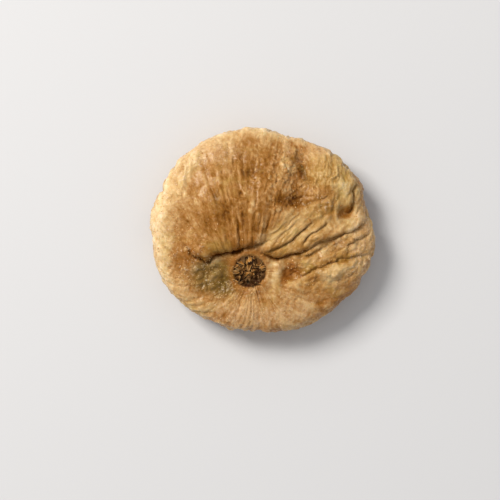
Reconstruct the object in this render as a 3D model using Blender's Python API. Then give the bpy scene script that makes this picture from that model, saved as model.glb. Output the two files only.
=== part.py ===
# A dried fig of the pale, pressed kind, lying on its stem side with the eye up.
# The fruit is one piece: skin, eye with its bracts, neck and stem stub are joined into one solid.
# Lengths in this file are millimetres, and the mesh is scaled to metres when it is made.
# X runs across the face, Y from the eye towards the stem's side, Z up. The origin is on the table,
# under the middle of the outline.

import math

import bmesh
import bpy
import numpy as np
from mathutils import Matrix, Vector

MM = 0.001

# Size of the pressed fruit
MEAN_RADIUS = 27.8
CROWN_HEIGHT = 13.2
RIM_HEIGHT = 6.6
EDGE_POWER = 0.40
FACE_STRETCH = 0.42

# Outline seen from above: angle from +X in degrees, radius as a share of the mean radius
OUTLINE = (
    (0, 1.018), (12, 0.982), (24, 1.000), (36, 0.966), (48, 0.976), (62, 0.934), (77, 0.914),
    (92, 0.955), (106, 0.976), (120, 0.998), (136, 1.010), (150, 1.030), (170, 1.050),
    (188, 1.050), (204, 1.048), (225, 1.020), (240, 0.980), (255, 0.955), (270, 0.944),
    (285, 0.950), (300, 0.964), (315, 0.986), (330, 1.012), (343, 1.038), (352, 1.042),
)

# The eye, where the bracts close the fruit
EYE = (-3.5, -10.8)
EYE_RADIUS = 4.2
EYE_DEPTH = 1.0
COLLAR_HEIGHT = 0.45
COLLAR_WIDTH = 1.1

# Swellings and hollows of the face: x, y, reach along x, reach along y, height
FACE_FORMS = (
    (-5.0, 5.5, 14.0, 8.5, 3.2),
    (17.5, 13.0, 5.5, 7.0, 2.0),
    (10.0, 14.0, 2.8, 7.5, -1.7),
    (8.0, 7.0, 4.6, 2.2, -1.4),
    (-4.0, -12.0, 15.0, 6.0, -1.8),
    (-14.5, -11.5, 4.5, 3.2, -1.3),
    (-12.0, -12.6, 1.6, 2.6, 0.7),
    (3.6, -11.2, 1.2, 3.8, 1.0),
    (7.8, -11.2, 1.8, 1.5, -1.5),
    (21.3, 4.6, 1.7, 1.5, -1.7),
    (14.5, -1.6, 3.2, 1.4, 0.9),
    (18.0, -10.5, 7.0, 3.0, 0.9),
    (8.5, -15.5, 3.0, 1.6, 0.7),
)

# Folds of the face. Each runs along its path, and the skin on the left of its direction rolls over
# it as a lip. depth, width: the groove. lip, reach: the roll beside it. overhang: how far the roll
# leans over the groove. ends: the share of the length over which the fold fades in and out.
FOLDS = {
    "brow": dict(
        path=(
            (-21.5, -3.4), (-19.4, -4.6), (-18.2, -6.5), (-16.2, -7.1), (-14.3, -8.2), (-13.4, -6.8),
            (-10.6, -5.9), (-6.1, -4.9), (-2.2, -3.9), (2.4, -2.6),
        ),
        depth=2.4, width=0.8, lip=1.9, reach=5.5, overhang=1.0, ends=(0.16, 0.16),
    ),
    "cheek": dict(
        path=(
            (-2.4, -5.2), (0.4, -6.3), (3.3, -7.2), (6.1, -6.5), (11.3, -5.0), (13.8, -3.4),
            (17.3, -2.4), (20.7, -1.0), (24.7, 1.1), (28.5, 3.2),
        ),
        depth=2.2, width=0.8, lip=1.3, reach=3.0, overhang=0.9, ends=(0.12, 0.14),
    ),
    "upper_cheek": dict(
        path=((-1.4, -5.0), (1.2, -5.3), (3.5, -4.6), (6.4, -3.1), (9.3, -0.7), (10.9, 0.8), (13.4, 2.2)),
        depth=1.3, width=0.7, lip=0.8, reach=2.2, overhang=0.5, ends=(0.15, 0.22),
    ),
    "fork": dict(
        path=((10.0, -4.4), (10.6, -2.6), (11.6, -1.3), (13.8, -0.3), (15.6, 1.1), (17.4, 2.6)),
        depth=1.4, width=0.7, lip=0.7, reach=1.8, overhang=0.4, ends=(0.2, 0.25),
    ),
    "right_tuck": dict(
        path=((20.2, 4.4), (21.2, 3.4), (22.1, 4.3), (22.8, 6.4), (23.0, 8.9), (22.8, 10.4), (24.6, 12.8)),
        depth=2.2, width=0.8, lip=0.9, reach=2.5, overhang=0.7, ends=(0.15, 0.2),
    ),
    "crease_up": dict(
        path=((-6.3, -4.6), (-6.3, 0.0), (-6.8, 4.6)),
        depth=1.0, width=0.45, lip=0.2, reach=1.5, overhang=0.15, ends=(0.05, 0.5),
    ),
    "crease_left": dict(
        path=((-11.2, -4.4), (-13.2, -2.0), (-15.8, 1.4)),
        depth=0.6, width=0.5, lip=0.15, reach=1.5, overhang=0.1, ends=(0.1, 0.5),
    ),
    "lower_right": dict(
        path=((14.0, -9.5), (16.4, -8.6), (20.7, -7.2), (24.5, -6.6), (28.5, -6.6)),
        depth=1.0, width=0.6, lip=0.5, reach=1.8, overhang=0.2, ends=(0.2, 0.2),
    ),
    "middle_right": dict(
        path=((8.0, -7.6), (11.5, -6.6), (13.8, -5.4), (16.1, -4.3), (18.4, -3.0)),
        depth=0.8, width=0.5, lip=0.5, reach=1.4, overhang=0.2, ends=(0.25, 0.3),
    ),
    "outer_right": dict(
        path=((20.4, -4.8), (21.9, -4.0), (23.6, -2.6), (25.3, -2.3), (28.0, -0.4)),
        depth=0.8, width=0.5, lip=0.5, reach=1.4, overhang=0.2, ends=(0.25, 0.2),
    ),
    "pit_right": dict(
        path=((8.8, -12.6), (12.1, -10.9), (15.0, -9.7), (17.5, -9.4)),
        depth=0.8, width=0.5, lip=0.5, reach=1.4, overhang=0.2, ends=(0.25, 0.3),
    ),
}

# Pleats that run from the eye round the rim to the stem, and lumps of the flesh below
PLEATS_AROUND = 32
PLEAT_DEPTH_FACE = 0.35
PLEAT_DEPTH_RIM = 0.75
PLEAT_DEPTH_BACK = 1.2
LUMP_SIZE = 9.0
LUMP_HEIGHT = 0.45

# The underside: it is pressed flat where it rests, with a clear flat spot, and hollow along the neck
PRESS_DEPTH = 0.4
SEAT = (-1.0, -4.5)
SEAT_RADIUS = 5.0
SEAT_EDGE = 4.0
NECK_HOLLOW = (4.6, 14.2, 4.6, 7.4, 2.7)

# The neck with its woody stub, bent flat into the hollow: points of its middle line, and radii
NECK_PATH = ((3.0, 7.8, 4.4), (3.6, 10.2, 3.3), (4.6, 13.0, 2.7), (5.3, 15.6, 2.5), (5.7, 18.4, 2.7))
NECK_RADII = (4.0, 3.4, 2.5, 1.9, 1.6)
NECK_FLATTENING = 0.78
NECK_RIBS = 7
NECK_RIB_DEPTH = 0.09
NECK_SIDES = 28

# Bracts of the eye, in rows from the outside in: how many, distance of the roots, length, lean
BRACT_ROWS = ((13, 4.2, 2.6, 26), (10, 3.3, 2.5, 38), (7, 2.2, 2.3, 52), (3, 1.0, 2.1, 70))
BRACT_WIDTH = 1.5
BRACT_THICKNESS = 0.7
BRACT_ROOT = 0.8

# Grid of the skin before it is thinned, and the faces that it is thinned to
SPOKES = 400
RINGS = 130
SKIN_FACES = 9900
FLAT_BELOW = 0.03


def smooth_step(low, high, value):
    share = np.clip((value - low) / (high - low), 0.0, 1.0)
    return share * share * (3.0 - 2.0 * share)


def smooth_path(points, per_span=10):
    """Points along a Catmull-Rom curve through the given ones."""
    p = np.array(points, float)
    p = np.vstack([2 * p[0] - p[1], p, 2 * p[-1] - p[-2]])
    t = np.linspace(0, 1, per_span, endpoint=False)[:, None]
    spans = [
        0.5 * (2 * b + (c - a) * t + (2 * a - 5 * b + 4 * c - d) * t**2 + (3 * b - a - 3 * c + d) * t**3)
        for a, b, c, d in zip(p, p[1:], p[2:], p[3:])
    ]
    return np.vstack([*spans, p[-2][None]])


def near_path(x, y, path):
    """Distance from a path, positive on its left, the share of its length there, and the way left."""
    best = np.full(x.shape, np.inf)
    distance, share = np.zeros(x.shape), np.zeros(x.shape)
    left_x, left_y = np.zeros(x.shape), np.zeros(x.shape)
    steps = np.diff(path, axis=0)
    lengths = np.hypot(*steps.T)
    starts = np.concatenate([[0.0], np.cumsum(lengths)])
    for (ax, ay), (dx, dy), length, start in zip(path, steps, lengths, starts):
        t = np.clip(((x - ax) * dx + (y - ay) * dy) / length**2, 0.0, 1.0)
        off_x, off_y = x - ax - t * dx, y - ay - t * dy
        gap = np.hypot(off_x, off_y)
        side = np.where(dx * off_y - dy * off_x < 0, -1.0, 1.0)
        closer = gap < best
        best = np.where(closer, gap, best)
        distance = np.where(closer, side * gap, distance)
        share = np.where(closer, (start + t * length) / starts[-1], share)
        left_x = np.where(closer, -dy / length, left_x)
        left_y = np.where(closer, dx / length, left_y)
    return distance, share, left_x, left_y


class Noise:
    """Smooth gradient noise in three dimensions, about -1 to 1, from a seeded table."""

    def __init__(self, seed):
        rng = np.random.default_rng(seed)
        self.order = rng.permutation(256)
        way = rng.normal(size=(256, 3))
        self.slopes = way / np.linalg.norm(way, axis=1, keepdims=True)

    def __call__(self, x, y, z):
        point = np.stack(np.broadcast_arrays(x, y, z), axis=-1)
        cell = np.floor(point).astype(int)
        inside = point - cell
        fade = inside**3 * (inside * (inside * 6 - 15) + 10)
        total = 0.0
        for corner in np.ndindex(2, 2, 2):
            i, j, k = np.moveaxis(cell + corner, -1, 0)
            pick = self.order[(self.order[(self.order[i & 255] + j) & 255] + k) & 255]
            slope = (self.slopes[pick] * (inside - corner)).sum(-1)
            total = total + slope * np.where(corner, fade, 1 - fade).prod(-1)
        return total * 1.6


def outline_radius(angle):
    """Radius of the outline at an angle, by a smooth closed curve through OUTLINE."""
    knots = np.array(OUTLINE, float)
    at, radius = np.radians(knots[:, 0]), knots[:, 1] * MEAN_RADIUS
    at = np.concatenate([at[-2:] - 2 * math.pi, at, at[:3] + 2 * math.pi])
    radius = np.concatenate([radius[-2:], radius, radius[:3]])
    angle = np.mod(angle, 2 * math.pi)
    i = np.clip(np.searchsorted(at, angle, side="right") - 1, 1, len(at) - 3)
    t = (angle - at[i]) / (at[i + 1] - at[i])
    rise = (radius[i + 1] - radius[i - 1]) / (at[i + 1] - at[i - 1]) * (at[i + 1] - at[i])
    run = (radius[i + 2] - radius[i]) / (at[i + 2] - at[i]) * (at[i + 1] - at[i])
    return (
        (2 * t**3 - 3 * t**2 + 1) * radius[i]
        + (t**3 - 2 * t**2 + t) * rise
        + (3 * t**2 - 2 * t**3) * radius[i + 1]
        + (t**3 - t**2) * run
    )


def stretched(share):
    """Where a parallel circle of the globe lies on the face, both as shares of the outline's radius."""
    return share * (1 + FACE_STRETCH * (1 - share**2))


def globe(around, down):
    """Unit directions: down is the angle from the eye, around the angle about the line from eye to stem."""
    x, y = EYE
    angle = math.atan2(y, x)
    shares = np.linspace(0, 1, 400)
    share = np.interp(math.hypot(x, y) / outline_radius(np.array(angle)), stretched(shares), shares)
    pole = np.array([share * math.cos(angle), share * math.sin(angle), math.sqrt(1 - share**2)])
    right = np.cross([0, 1, 0], pole)
    right /= np.linalg.norm(right)
    up = np.cross(pole, right)
    around, down = np.asarray(around)[..., None], np.asarray(down)[..., None]
    return np.cos(down) * pole + np.sin(down) * (np.cos(around) * right + np.sin(around) * up)


def surface_normals(points):
    """Outward unit normals of a grid of points: rows run round the fruit, columns from eye to stem."""
    across = np.roll(points, -1, 0) - np.roll(points, 1, 0)
    along = np.gradient(points, axis=1)
    normal = np.cross(along, across)
    length = np.linalg.norm(normal, axis=-1, keepdims=True)
    normal = normal / np.maximum(length, 1e-9)
    for pole, beside in ((0, 1), (-1, -2)):
        mean = normal[:, beside].mean(0)
        normal[:, pole] = mean / np.linalg.norm(mean)
    return normal


def pillow(directions):
    """The pressed fruit with no folds: a globe flattened into a pillow with a round rim."""
    x, y, z = np.moveaxis(directions, -1, 0)
    share = np.clip(np.hypot(x, y), 0, 1)
    angle = np.arctan2(y, x)
    radius = stretched(share) * outline_radius(angle)
    height = np.sign(z) * (1 - share**2) ** EDGE_POWER
    top = CROWN_HEIGHT - RIM_HEIGHT
    level = RIM_HEIGHT + np.where(height > 0, height * top, height * RIM_HEIGHT)
    return np.stack([radius * np.cos(angle), radius * np.sin(angle), level], axis=-1)


def face_height(x, y):
    """Swellings and hollows of the face, and the collar and floor of the eye."""
    height = np.zeros(x.shape)
    for cx, cy, reach_x, reach_y, rise in FACE_FORMS:
        height += rise * np.exp(-(((x - cx) / reach_x) ** 2) - ((y - cy) / reach_y) ** 2)
    from_eye = np.hypot(x - EYE[0], y - EYE[1])
    height += COLLAR_HEIGHT * np.exp(-(((from_eye - EYE_RADIUS - 0.7) / COLLAR_WIDTH) ** 2))
    height -= EYE_DEPTH * (1 - smooth_step(EYE_RADIUS - 1.0, EYE_RADIUS + 0.2, from_eye))
    return height


def fold_offsets(x, y, fold):
    """How a fold moves the skin sideways and up: a groove, and a lip that rolls over it."""
    d, share, left_x, left_y = near_path(x, y, smooth_path(fold["path"]))
    start, end = fold["ends"]
    fade = smooth_step(0, start, share) * smooth_step(0, end, 1 - share)
    groove = fold["depth"] * np.exp(-np.abs(d / fold["width"]) ** 1.4)
    over = np.maximum(d, 0)
    lean = over / fold["width"]
    rise = fold["lip"] * (1 - np.exp(-(lean**2))) * np.exp(-((over / fold["reach"]) ** 2))
    sideways = fold["overhang"] * lean**2 * np.exp(2 - 2 * lean)
    return -fade * sideways * left_x, -fade * sideways * left_y, fade * (rise - groove)


def back_height(x, y):
    """How far the underside is drawn up into the fruit along the neck."""
    cx, cy, reach_x, reach_y, rise = NECK_HOLLOW
    return rise * np.exp(-(((x - cx) / reach_x) ** 2) - ((y - cy) / reach_y) ** 2) - PRESS_DEPTH


def rings_down(count):
    """Angles from the eye of the grid's rings, closer together on the face."""
    return np.interp(np.linspace(0, 1, count), (0, 0.45, 0.85, 1), (0, 0.75, 2.4, math.pi))


def pleats(around, down):
    """Ridges between sharp valleys that run from eye to stem, some deep and some faint."""
    ring_x, ring_y = np.cos(around), np.sin(around)
    strength = 0.3 + 0.7 * smooth_step(-0.4, 0.4, Noise(13)(ring_x * 1.8, ring_y * 1.8, down * 0.8))
    around = around + 0.12 * Noise(5)(ring_x * 1.5, ring_y * 1.5, down * 1.6)
    cells = PLEATS_AROUND / (2 * math.pi)
    ridge = Noise(11)(cells * np.cos(around), cells * np.sin(around), down * 1.1)
    return strength * (np.minimum(np.abs(ridge) * 2.2, 1.0) - 0.45)


def fig_points(spokes, rings):
    """The whole skin as a grid of points, from eye to stem: the pillow with its forms, folds and pleats."""
    around = np.linspace(0, 2 * math.pi, spokes, endpoint=False)
    around, down = np.meshgrid(around, rings_down(rings), indexing="ij")
    way = globe(around, down)
    points = pillow(way)
    on_face = smooth_step(0.02, 0.5, way[..., 2])
    on_back = smooth_step(0.05, 0.6, -way[..., 2])
    x, y = points[..., 0].copy(), points[..., 1].copy()
    points[..., 2] += on_face * face_height(x, y) + on_back * back_height(x, y)
    normal = surface_normals(points)
    from_seat = np.hypot(x - SEAT[0], y - SEAT[1])
    off_seat = 1 - on_back * (1 - smooth_step(SEAT_RADIUS, SEAT_RADIUS + SEAT_EDGE, from_seat))
    lumps = Noise(3)(*(np.moveaxis(points, -1, 0) / LUMP_SIZE)) * LUMP_HEIGHT
    depth = PLEAT_DEPTH_RIM + (PLEAT_DEPTH_FACE - PLEAT_DEPTH_RIM) * on_face
    depth = depth + (PLEAT_DEPTH_BACK - PLEAT_DEPTH_RIM) * on_back
    depth = depth * smooth_step(0.10, 0.45, down) * smooth_step(0.0, 0.35, math.pi - down)
    points += normal * (off_seat * (lumps + depth * pleats(around, down)))[..., None]
    for fold in FOLDS.values():
        moved = fold_offsets(x, y, fold)
        points += on_face[..., None] * np.stack(moved, axis=-1)
    low, high = points.min((0, 1)), points.max((0, 1))
    middle = (low + high) / 2
    points[..., :2] -= middle[:2]
    points[..., 2] = np.maximum(points[..., 2], 0)
    return points, middle[:2]


def grid_mesh(name, points, caps=False):
    """A closed mesh from a grid whose rows go all the way round: each end column is one point, or capped."""
    turns, steps = points.shape[:2]
    mesh = bmesh.new()
    columns = [[mesh.verts.new(Vector(p) * MM) for p in points[:, j]] for j in range(steps)]
    for inner, outer in zip(columns, columns[1:]):
        for i in range(turns):
            k = (i + 1) % turns
            mesh.faces.new((inner[i], outer[i], outer[k], inner[k]))
    if caps:
        mesh.faces.new(columns[0])
        mesh.faces.new(reversed(columns[-1]))
    bmesh.ops.remove_doubles(mesh, verts=mesh.verts, dist=1e-4 * MM)
    bmesh.ops.recalc_face_normals(mesh, faces=mesh.faces)
    data = bpy.data.meshes.new(name)
    mesh.to_mesh(data)
    mesh.free()
    return data


def new_object(name, data, collection=None):
    made = bpy.data.objects.new(name, data)
    (collection or bpy.context.scene.collection).objects.link(made)
    return made


def applied(obj):
    """The object's modifiers made part of its mesh."""
    bpy.context.view_layer.update()
    data = bpy.data.meshes.new_from_object(obj.evaluated_get(bpy.context.evaluated_depsgraph_get()))
    obj.modifiers.clear()
    obj.data = data
    return obj


def eye_frame(points):
    """The floor of the eye as a frame: its middle, and Z square to the skin round it."""
    ring = points[:, RINGS // 8]
    quarter = len(ring) // 4
    normal = np.cross(ring[0] - ring[2 * quarter], ring[quarter] - ring[3 * quarter])
    frame = Vector(normal).to_track_quat("Z", "Y").to_matrix().to_4x4()
    frame.translation = points[:, 0].mean(0)
    return frame


def make_skin():
    """The skin with its underside flat on the table, where the outline's middle lay, and the eye's frame."""
    points, middle = fig_points(SPOKES, RINGS)
    skin = new_object("dried_fig", grid_mesh("dried_fig", points))
    thin = skin.modifiers.new("thin", "DECIMATE")
    thin.ratio = SKIN_FACES / (2 * SPOKES * (RINGS - 1))
    applied(skin)
    for vertex in skin.data.vertices:
        if vertex.co.z < FLAT_BELOW * MM:
            vertex.co.z = 0
    return skin, middle, eye_frame(points)


def make_neck(middle, collection):
    """The neck: ribbed, flattened rings of changing radius carried along the middle line."""
    line = smooth_path(np.array(NECK_PATH) - [*middle, 0], 3)
    radii = np.interp(np.linspace(0, 1, len(line)), np.linspace(0, 1, len(NECK_RADII)), NECK_RADII)
    turn = np.linspace(0, 2 * math.pi, NECK_SIDES, endpoint=False)
    ways = np.gradient(line, axis=0)
    ways /= np.linalg.norm(ways, axis=1, keepdims=True)
    side = np.cross(ways, [0, 0, 1])
    side /= np.linalg.norm(side, axis=1, keepdims=True)
    rise = np.cross(side, ways) * NECK_FLATTENING
    ring = np.cos(turn)[:, None, None] * side + np.sin(turn)[:, None, None] * rise
    ring = ring * (1 + NECK_RIB_DEPTH * np.cos(NECK_RIBS * turn))[:, None, None]
    return new_object("neck", grid_mesh("neck", line + radii[:, None] * ring, caps=True), collection)


def make_bracts(eye, collection):
    """Tapered tongues with sunk roots that stand in the eye in rows and lean towards its middle."""
    rng = np.random.default_rng(7)
    for count, root, length, lean in BRACT_ROWS:
        for n in range(count):
            angle = 2 * math.pi * (n + 0.3 * rng.uniform(-1, 1)) / count + 0.4 * root
            tilt = math.radians(lean + rng.uniform(-9, 9))
            reach = length * rng.uniform(0.85, 1.15)
            mesh = bmesh.new()
            bmesh.ops.create_cube(mesh, size=1)
            tip = [vertex for vertex in mesh.verts if vertex.co.x > 0]
            bmesh.ops.scale(mesh, vec=(reach, BRACT_WIDTH, BRACT_THICKNESS), verts=mesh.verts)
            bmesh.ops.scale(mesh, vec=(1, 0.5, 0.9), verts=tip)
            place = eye @ Matrix.Rotation(angle + math.pi, 4, "Z")
            place = place @ Matrix.Translation((-root, 0, 0)) @ Matrix.Rotation(-tilt, 4, "Y")
            mesh.transform(Matrix.Scale(MM, 4) @ place @ Matrix.Translation((reach / 2 - BRACT_ROOT, 0, 0)))
            data = bpy.data.meshes.new("bract")
            mesh.to_mesh(data)
            mesh.free()
            new_object("bract", data, collection)


def join_all(skin, collection):
    union = skin.modifiers.new("join", "BOOLEAN")
    union.operation = "UNION"
    union.operand_type = "COLLECTION"
    union.collection = collection
    union.solver = "EXACT"
    applied(skin)
    for obj in list(collection.objects):
        bpy.data.objects.remove(obj)
    bpy.data.collections.remove(collection)


def skin_material():
    material = bpy.data.materials.new("fig_skin")
    material.use_nodes = True
    shader = material.node_tree.nodes["Principled BSDF"]
    shader.inputs["Base Color"].default_value = (0.50, 0.29, 0.10, 1)
    shader.inputs["Roughness"].default_value = 0.5
    shader.inputs["Metallic"].default_value = 0.0
    return material


def main():
    for obj in list(bpy.data.objects):
        bpy.data.objects.remove(obj)
    skin, middle, eye = make_skin()
    pieces = bpy.data.collections.new("pieces")
    bpy.context.scene.collection.children.link(pieces)
    make_neck(middle, pieces)
    make_bracts(eye, pieces)
    join_all(skin, pieces)
    skin.data.materials.clear()
    skin.data.materials.append(skin_material())
    skin.data.shade_smooth()
    skin.data.set_sharp_from_angle(angle=math.radians(60))


if __name__ == "__main__":
    main()
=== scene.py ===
import math

import bpy
import numpy as np
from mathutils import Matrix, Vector


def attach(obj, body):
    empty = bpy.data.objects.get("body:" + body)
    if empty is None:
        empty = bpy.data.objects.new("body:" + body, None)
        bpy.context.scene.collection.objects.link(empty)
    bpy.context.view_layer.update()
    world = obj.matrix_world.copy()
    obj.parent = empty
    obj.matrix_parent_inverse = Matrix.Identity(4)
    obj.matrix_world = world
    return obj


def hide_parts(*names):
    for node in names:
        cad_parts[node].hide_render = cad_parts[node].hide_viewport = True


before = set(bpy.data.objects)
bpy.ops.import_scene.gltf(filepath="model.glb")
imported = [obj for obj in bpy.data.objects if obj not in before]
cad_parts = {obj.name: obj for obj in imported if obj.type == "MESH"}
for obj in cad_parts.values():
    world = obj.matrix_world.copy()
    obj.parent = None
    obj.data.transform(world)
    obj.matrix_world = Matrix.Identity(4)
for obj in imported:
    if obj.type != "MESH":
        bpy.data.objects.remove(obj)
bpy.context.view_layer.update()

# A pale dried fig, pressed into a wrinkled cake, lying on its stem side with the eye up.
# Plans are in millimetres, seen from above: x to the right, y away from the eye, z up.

mm = 0.001

# Small maths that several pieces use


def smoothStep(low, high, value):
    # 0 below low, 1 above high, an even S between them
    share = np.clip((value - low) / (high - low), 0.0, 1.0)
    return share * share * (3.0 - 2.0 * share)


def smoothPath(points, perSpan=10):
    # points along a Catmull-Rom curve through the given ones
    p = np.array(points, float)
    p = np.vstack([2 * p[0] - p[1], p, 2 * p[-1] - p[-2]])
    t = np.linspace(0, 1, perSpan, endpoint=False)[:, None]
    spans = [
        0.5 * (2 * b + (c - a) * t + (2 * a - 5 * b + 4 * c - d) * t**2 + (3 * b - a - 3 * c + d) * t**3)
        for a, b, c, d in zip(p, p[1:], p[2:], p[3:])
    ]
    return np.vstack([*spans, p[-2][None]])


def nearPath(x, y, path):
    # distance from a path, positive on its left; the share of its length there; and the way left, x and y
    best, found = np.full(x.shape, np.inf), np.zeros((4, *x.shape))
    steps = np.diff(path, axis=0)
    lengths = np.hypot(*steps.T)
    starts = np.concatenate([[0.0], np.cumsum(lengths)])
    for (ax, ay), (dx, dy), length, start in zip(path, steps, lengths, starts):
        t = np.clip(((x - ax) * dx + (y - ay) * dy) / length**2, 0.0, 1.0)
        offX, offY = x - ax - t * dx, y - ay - t * dy
        gap = np.hypot(offX, offY)
        here = np.where(dx * offY - dy * offX < 0, -gap, gap), (start + t * length) / starts[-1]
        found = np.where(gap < best, np.stack(np.broadcast_arrays(*here, -dy / length, dx / length)), found)
        best = np.minimum(gap, best)
    return found


class SlopeNoise:
    # smooth gradient noise in three dimensions, about -1 to 1, from a seeded table of slopes
    def __init__(self, seed):
        rng = np.random.default_rng(seed)
        self.order = rng.permutation(256)
        way = rng.normal(size=(256, 3))
        self.slopes = way / np.linalg.norm(way, axis=1, keepdims=True)

    def __call__(self, x, y, z):
        point = np.stack(np.broadcast_arrays(x, y, z), axis=-1).astype(float)
        cell = np.floor(point).astype(int)
        inside = point - cell
        fade = inside**3 * (inside * (inside * 6 - 15) + 10)
        total = 0.0
        for corner in np.ndindex(2, 2, 2):
            i, j, k = np.moveaxis(cell + corner, -1, 0)
            pick = self.order[(self.order[(self.order[i & 255] + j) & 255] + k) & 255]
            slope = (self.slopes[pick] * (inside - corner)).sum(-1)
            total = total + slope * np.where(corner, fade, 1 - fade).prod(-1)
        return total * 1.6


def cloudy(seed, size, points, layers=3):
    # the noise at a size in mm, with halved copies of itself added: sum of noise(2^n p) / 2^n
    noise = SlopeNoise(seed)
    x, y, z = np.moveaxis(points / size, -1, 0)
    return sum(noise(x * 2**n, y * 2**n + 17 * n, z * 2**n) / 2**n for n in range(layers))


def bell(value, width=1.0):
    # exp(-(value / width)^2): 1 at zero, and about a third of that a width away
    return np.exp(-((value / width) ** 2))


def turned(x, y, degrees):
    # the same places measured along and across a line that is turned by some degrees
    c, s = math.cos(math.radians(degrees)), math.sin(math.radians(degrees))
    return x * c + y * s, y * c - x * s


def hump(x, y, cx, cy, reachX, reachY, height, turn=0.0):
    # height * exp(-(along / reachX)^2 - (across / reachY)^2)
    along, across = turned(x - cx, y - cy, turn)
    return height * bell(along, reachX) * bell(across, reachY)


def patch(x, y, cx, cy, reachX, reachY, turn=0.0, edge=0.4):
    # 1 inside an ellipse that is turned by some degrees, fading to 0 over its edge
    along, across = turned(x - cx, y - cy, turn)
    return 1 - smoothStep(1 - edge, 1 + edge, np.hypot(along / reachX, across / reachY))


def spots(x, y, entries, edge):
    # patches added up, each times its amount, which stands first; turn is 0 and edge as given where left out
    total = 0.0
    for amount, *form in entries:
        total = total + amount * patch(x, y, *form, *(0.0, edge)[len(form) - 4:])
    return total


def surfaceNormals(points):
    # outward unit normals of a grid of points: cross product of the ways along and across
    across = np.roll(points, -1, 0) - np.roll(points, 1, 0)
    along = np.gradient(points, axis=1)
    normal = np.cross(along, across)
    normal /= np.maximum(np.linalg.norm(normal, axis=-1, keepdims=True), 1e-9)
    for pole, beside in ((0, 1), (-1, -2)):
        mean = normal[:, beside].mean(0)
        normal[:, pole] = mean / np.linalg.norm(mean)
    return normal


def closedGrid(turns, steps):
    # faces of a grid that closes round its rows; the end columns are one point each
    ring = 1 + np.arange(turns * (steps - 2)).reshape(steps - 2, turns)
    after = np.roll(ring, -1, 1)
    last = 1 + ring.size
    quads = np.stack([ring[:-1], ring[1:], after[1:], after[:-1]], axis=-1).reshape(-1, 4)
    first = np.stack([np.zeros(turns, int), ring[0], after[0]], axis=-1)
    final = np.stack([np.full(turns, last), after[-1], ring[-1]], axis=-1)
    return quads, np.vstack([first, final])


def closedColumns(grid):
    # a grid's values (turns, steps, ...) in the order of closedGrid's points
    inner = np.swapaxes(grid[:, 1:-1], 0, 1).reshape((-1,) + grid.shape[2:])
    return np.concatenate([grid[:, 0].mean(0)[None], inner, grid[:, -1].mean(0)[None]])


def copies(faceSets, count, size):
    # the same faces for each of count like shapes in one mesh: point numbers + n * size
    return [np.concatenate([faces + n * size for n in range(count)]) for faces in faceSets]


def newPiece(name, points, faceSets, material, attributes):
    # a mesh piece from arrays of points (mm) and faces, with its values per point
    loops = np.concatenate([faces.ravel() for faces in faceSets])
    sizes = np.concatenate([np.full(len(faces), faces.shape[1]) for faces in faceSets])
    mesh = bpy.data.meshes.new(name)
    mesh.vertices.add(len(points))
    mesh.vertices.foreach_set("co", (points * mm).astype(np.float32).ravel())
    mesh.loops.add(len(loops))
    mesh.loops.foreach_set("vertex_index", loops.astype(np.int32))
    mesh.polygons.add(len(sizes))
    mesh.polygons.foreach_set("loop_start", (np.cumsum(sizes) - sizes).astype(np.int32))
    mesh.update(calc_edges=True)
    mesh.validate()
    for key, values in attributes.items():
        layer = mesh.attributes.new(key, "FLOAT", "POINT")
        layer.data.foreach_set("value", np.asarray(values, np.float32).ravel())
    mesh.materials.append(material)
    mesh.shade_smooth()
    piece = bpy.data.objects.new(name, mesh)
    bpy.context.scene.collection.objects.link(piece)
    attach(piece, "root")
    return piece


def gridPiece(name, grid, material, values):
    # a piece from one grid that closes, with its values on the same grid
    columns = {key: closedColumns(np.broadcast_to(part, grid.shape[:2])) for key, part in values.items()}
    return newPiece(name, closedColumns(grid), closedGrid(*grid.shape[:2]), material, columns)


# Shader maths


def paint(*screen):
    # red, green and blue on a screen, 0 to 255, made linear: ((v + 0.055) / 1.055)^2.4, the darkest v / 12.92
    shares = [v / 255 for v in screen]
    return (*(((v + 0.055) / 1.055) ** 2.4 if v > 0.0393 else v / 12.92 for v in shares), 1.0)


class Wire:
    # a node's output that can be used in plain arithmetic: each step adds a Math node
    def __init__(self, sheet, socket):
        self.sheet, self.socket = sheet, socket

    def step(self, operation, *values):
        return self.sheet.node("ShaderNodeMath", {"operation": operation}, dict(enumerate(values)))

    def __add__(self, other):
        return self.step("ADD", self, other)

    def __sub__(self, other):
        return self.step("SUBTRACT", self, other)

    def __rsub__(self, other):
        return self.step("SUBTRACT", other, self)

    def __mul__(self, other):
        return self.step("MULTIPLY", self, other)

    def __pow__(self, other):
        return self.step("POWER", self, other)

    __radd__, __rmul__ = __add__, __mul__

    def between(self, low, high):
        # 0 at low, 1 at high, an even S between, cut off outside
        settings = {"interpolation_type": "SMOOTHSTEP"}
        return self.sheet.node("ShaderNodeMapRange", settings, {0: self, 1: low, 2: high, 3: 0.0, 4: 1.0})


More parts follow.
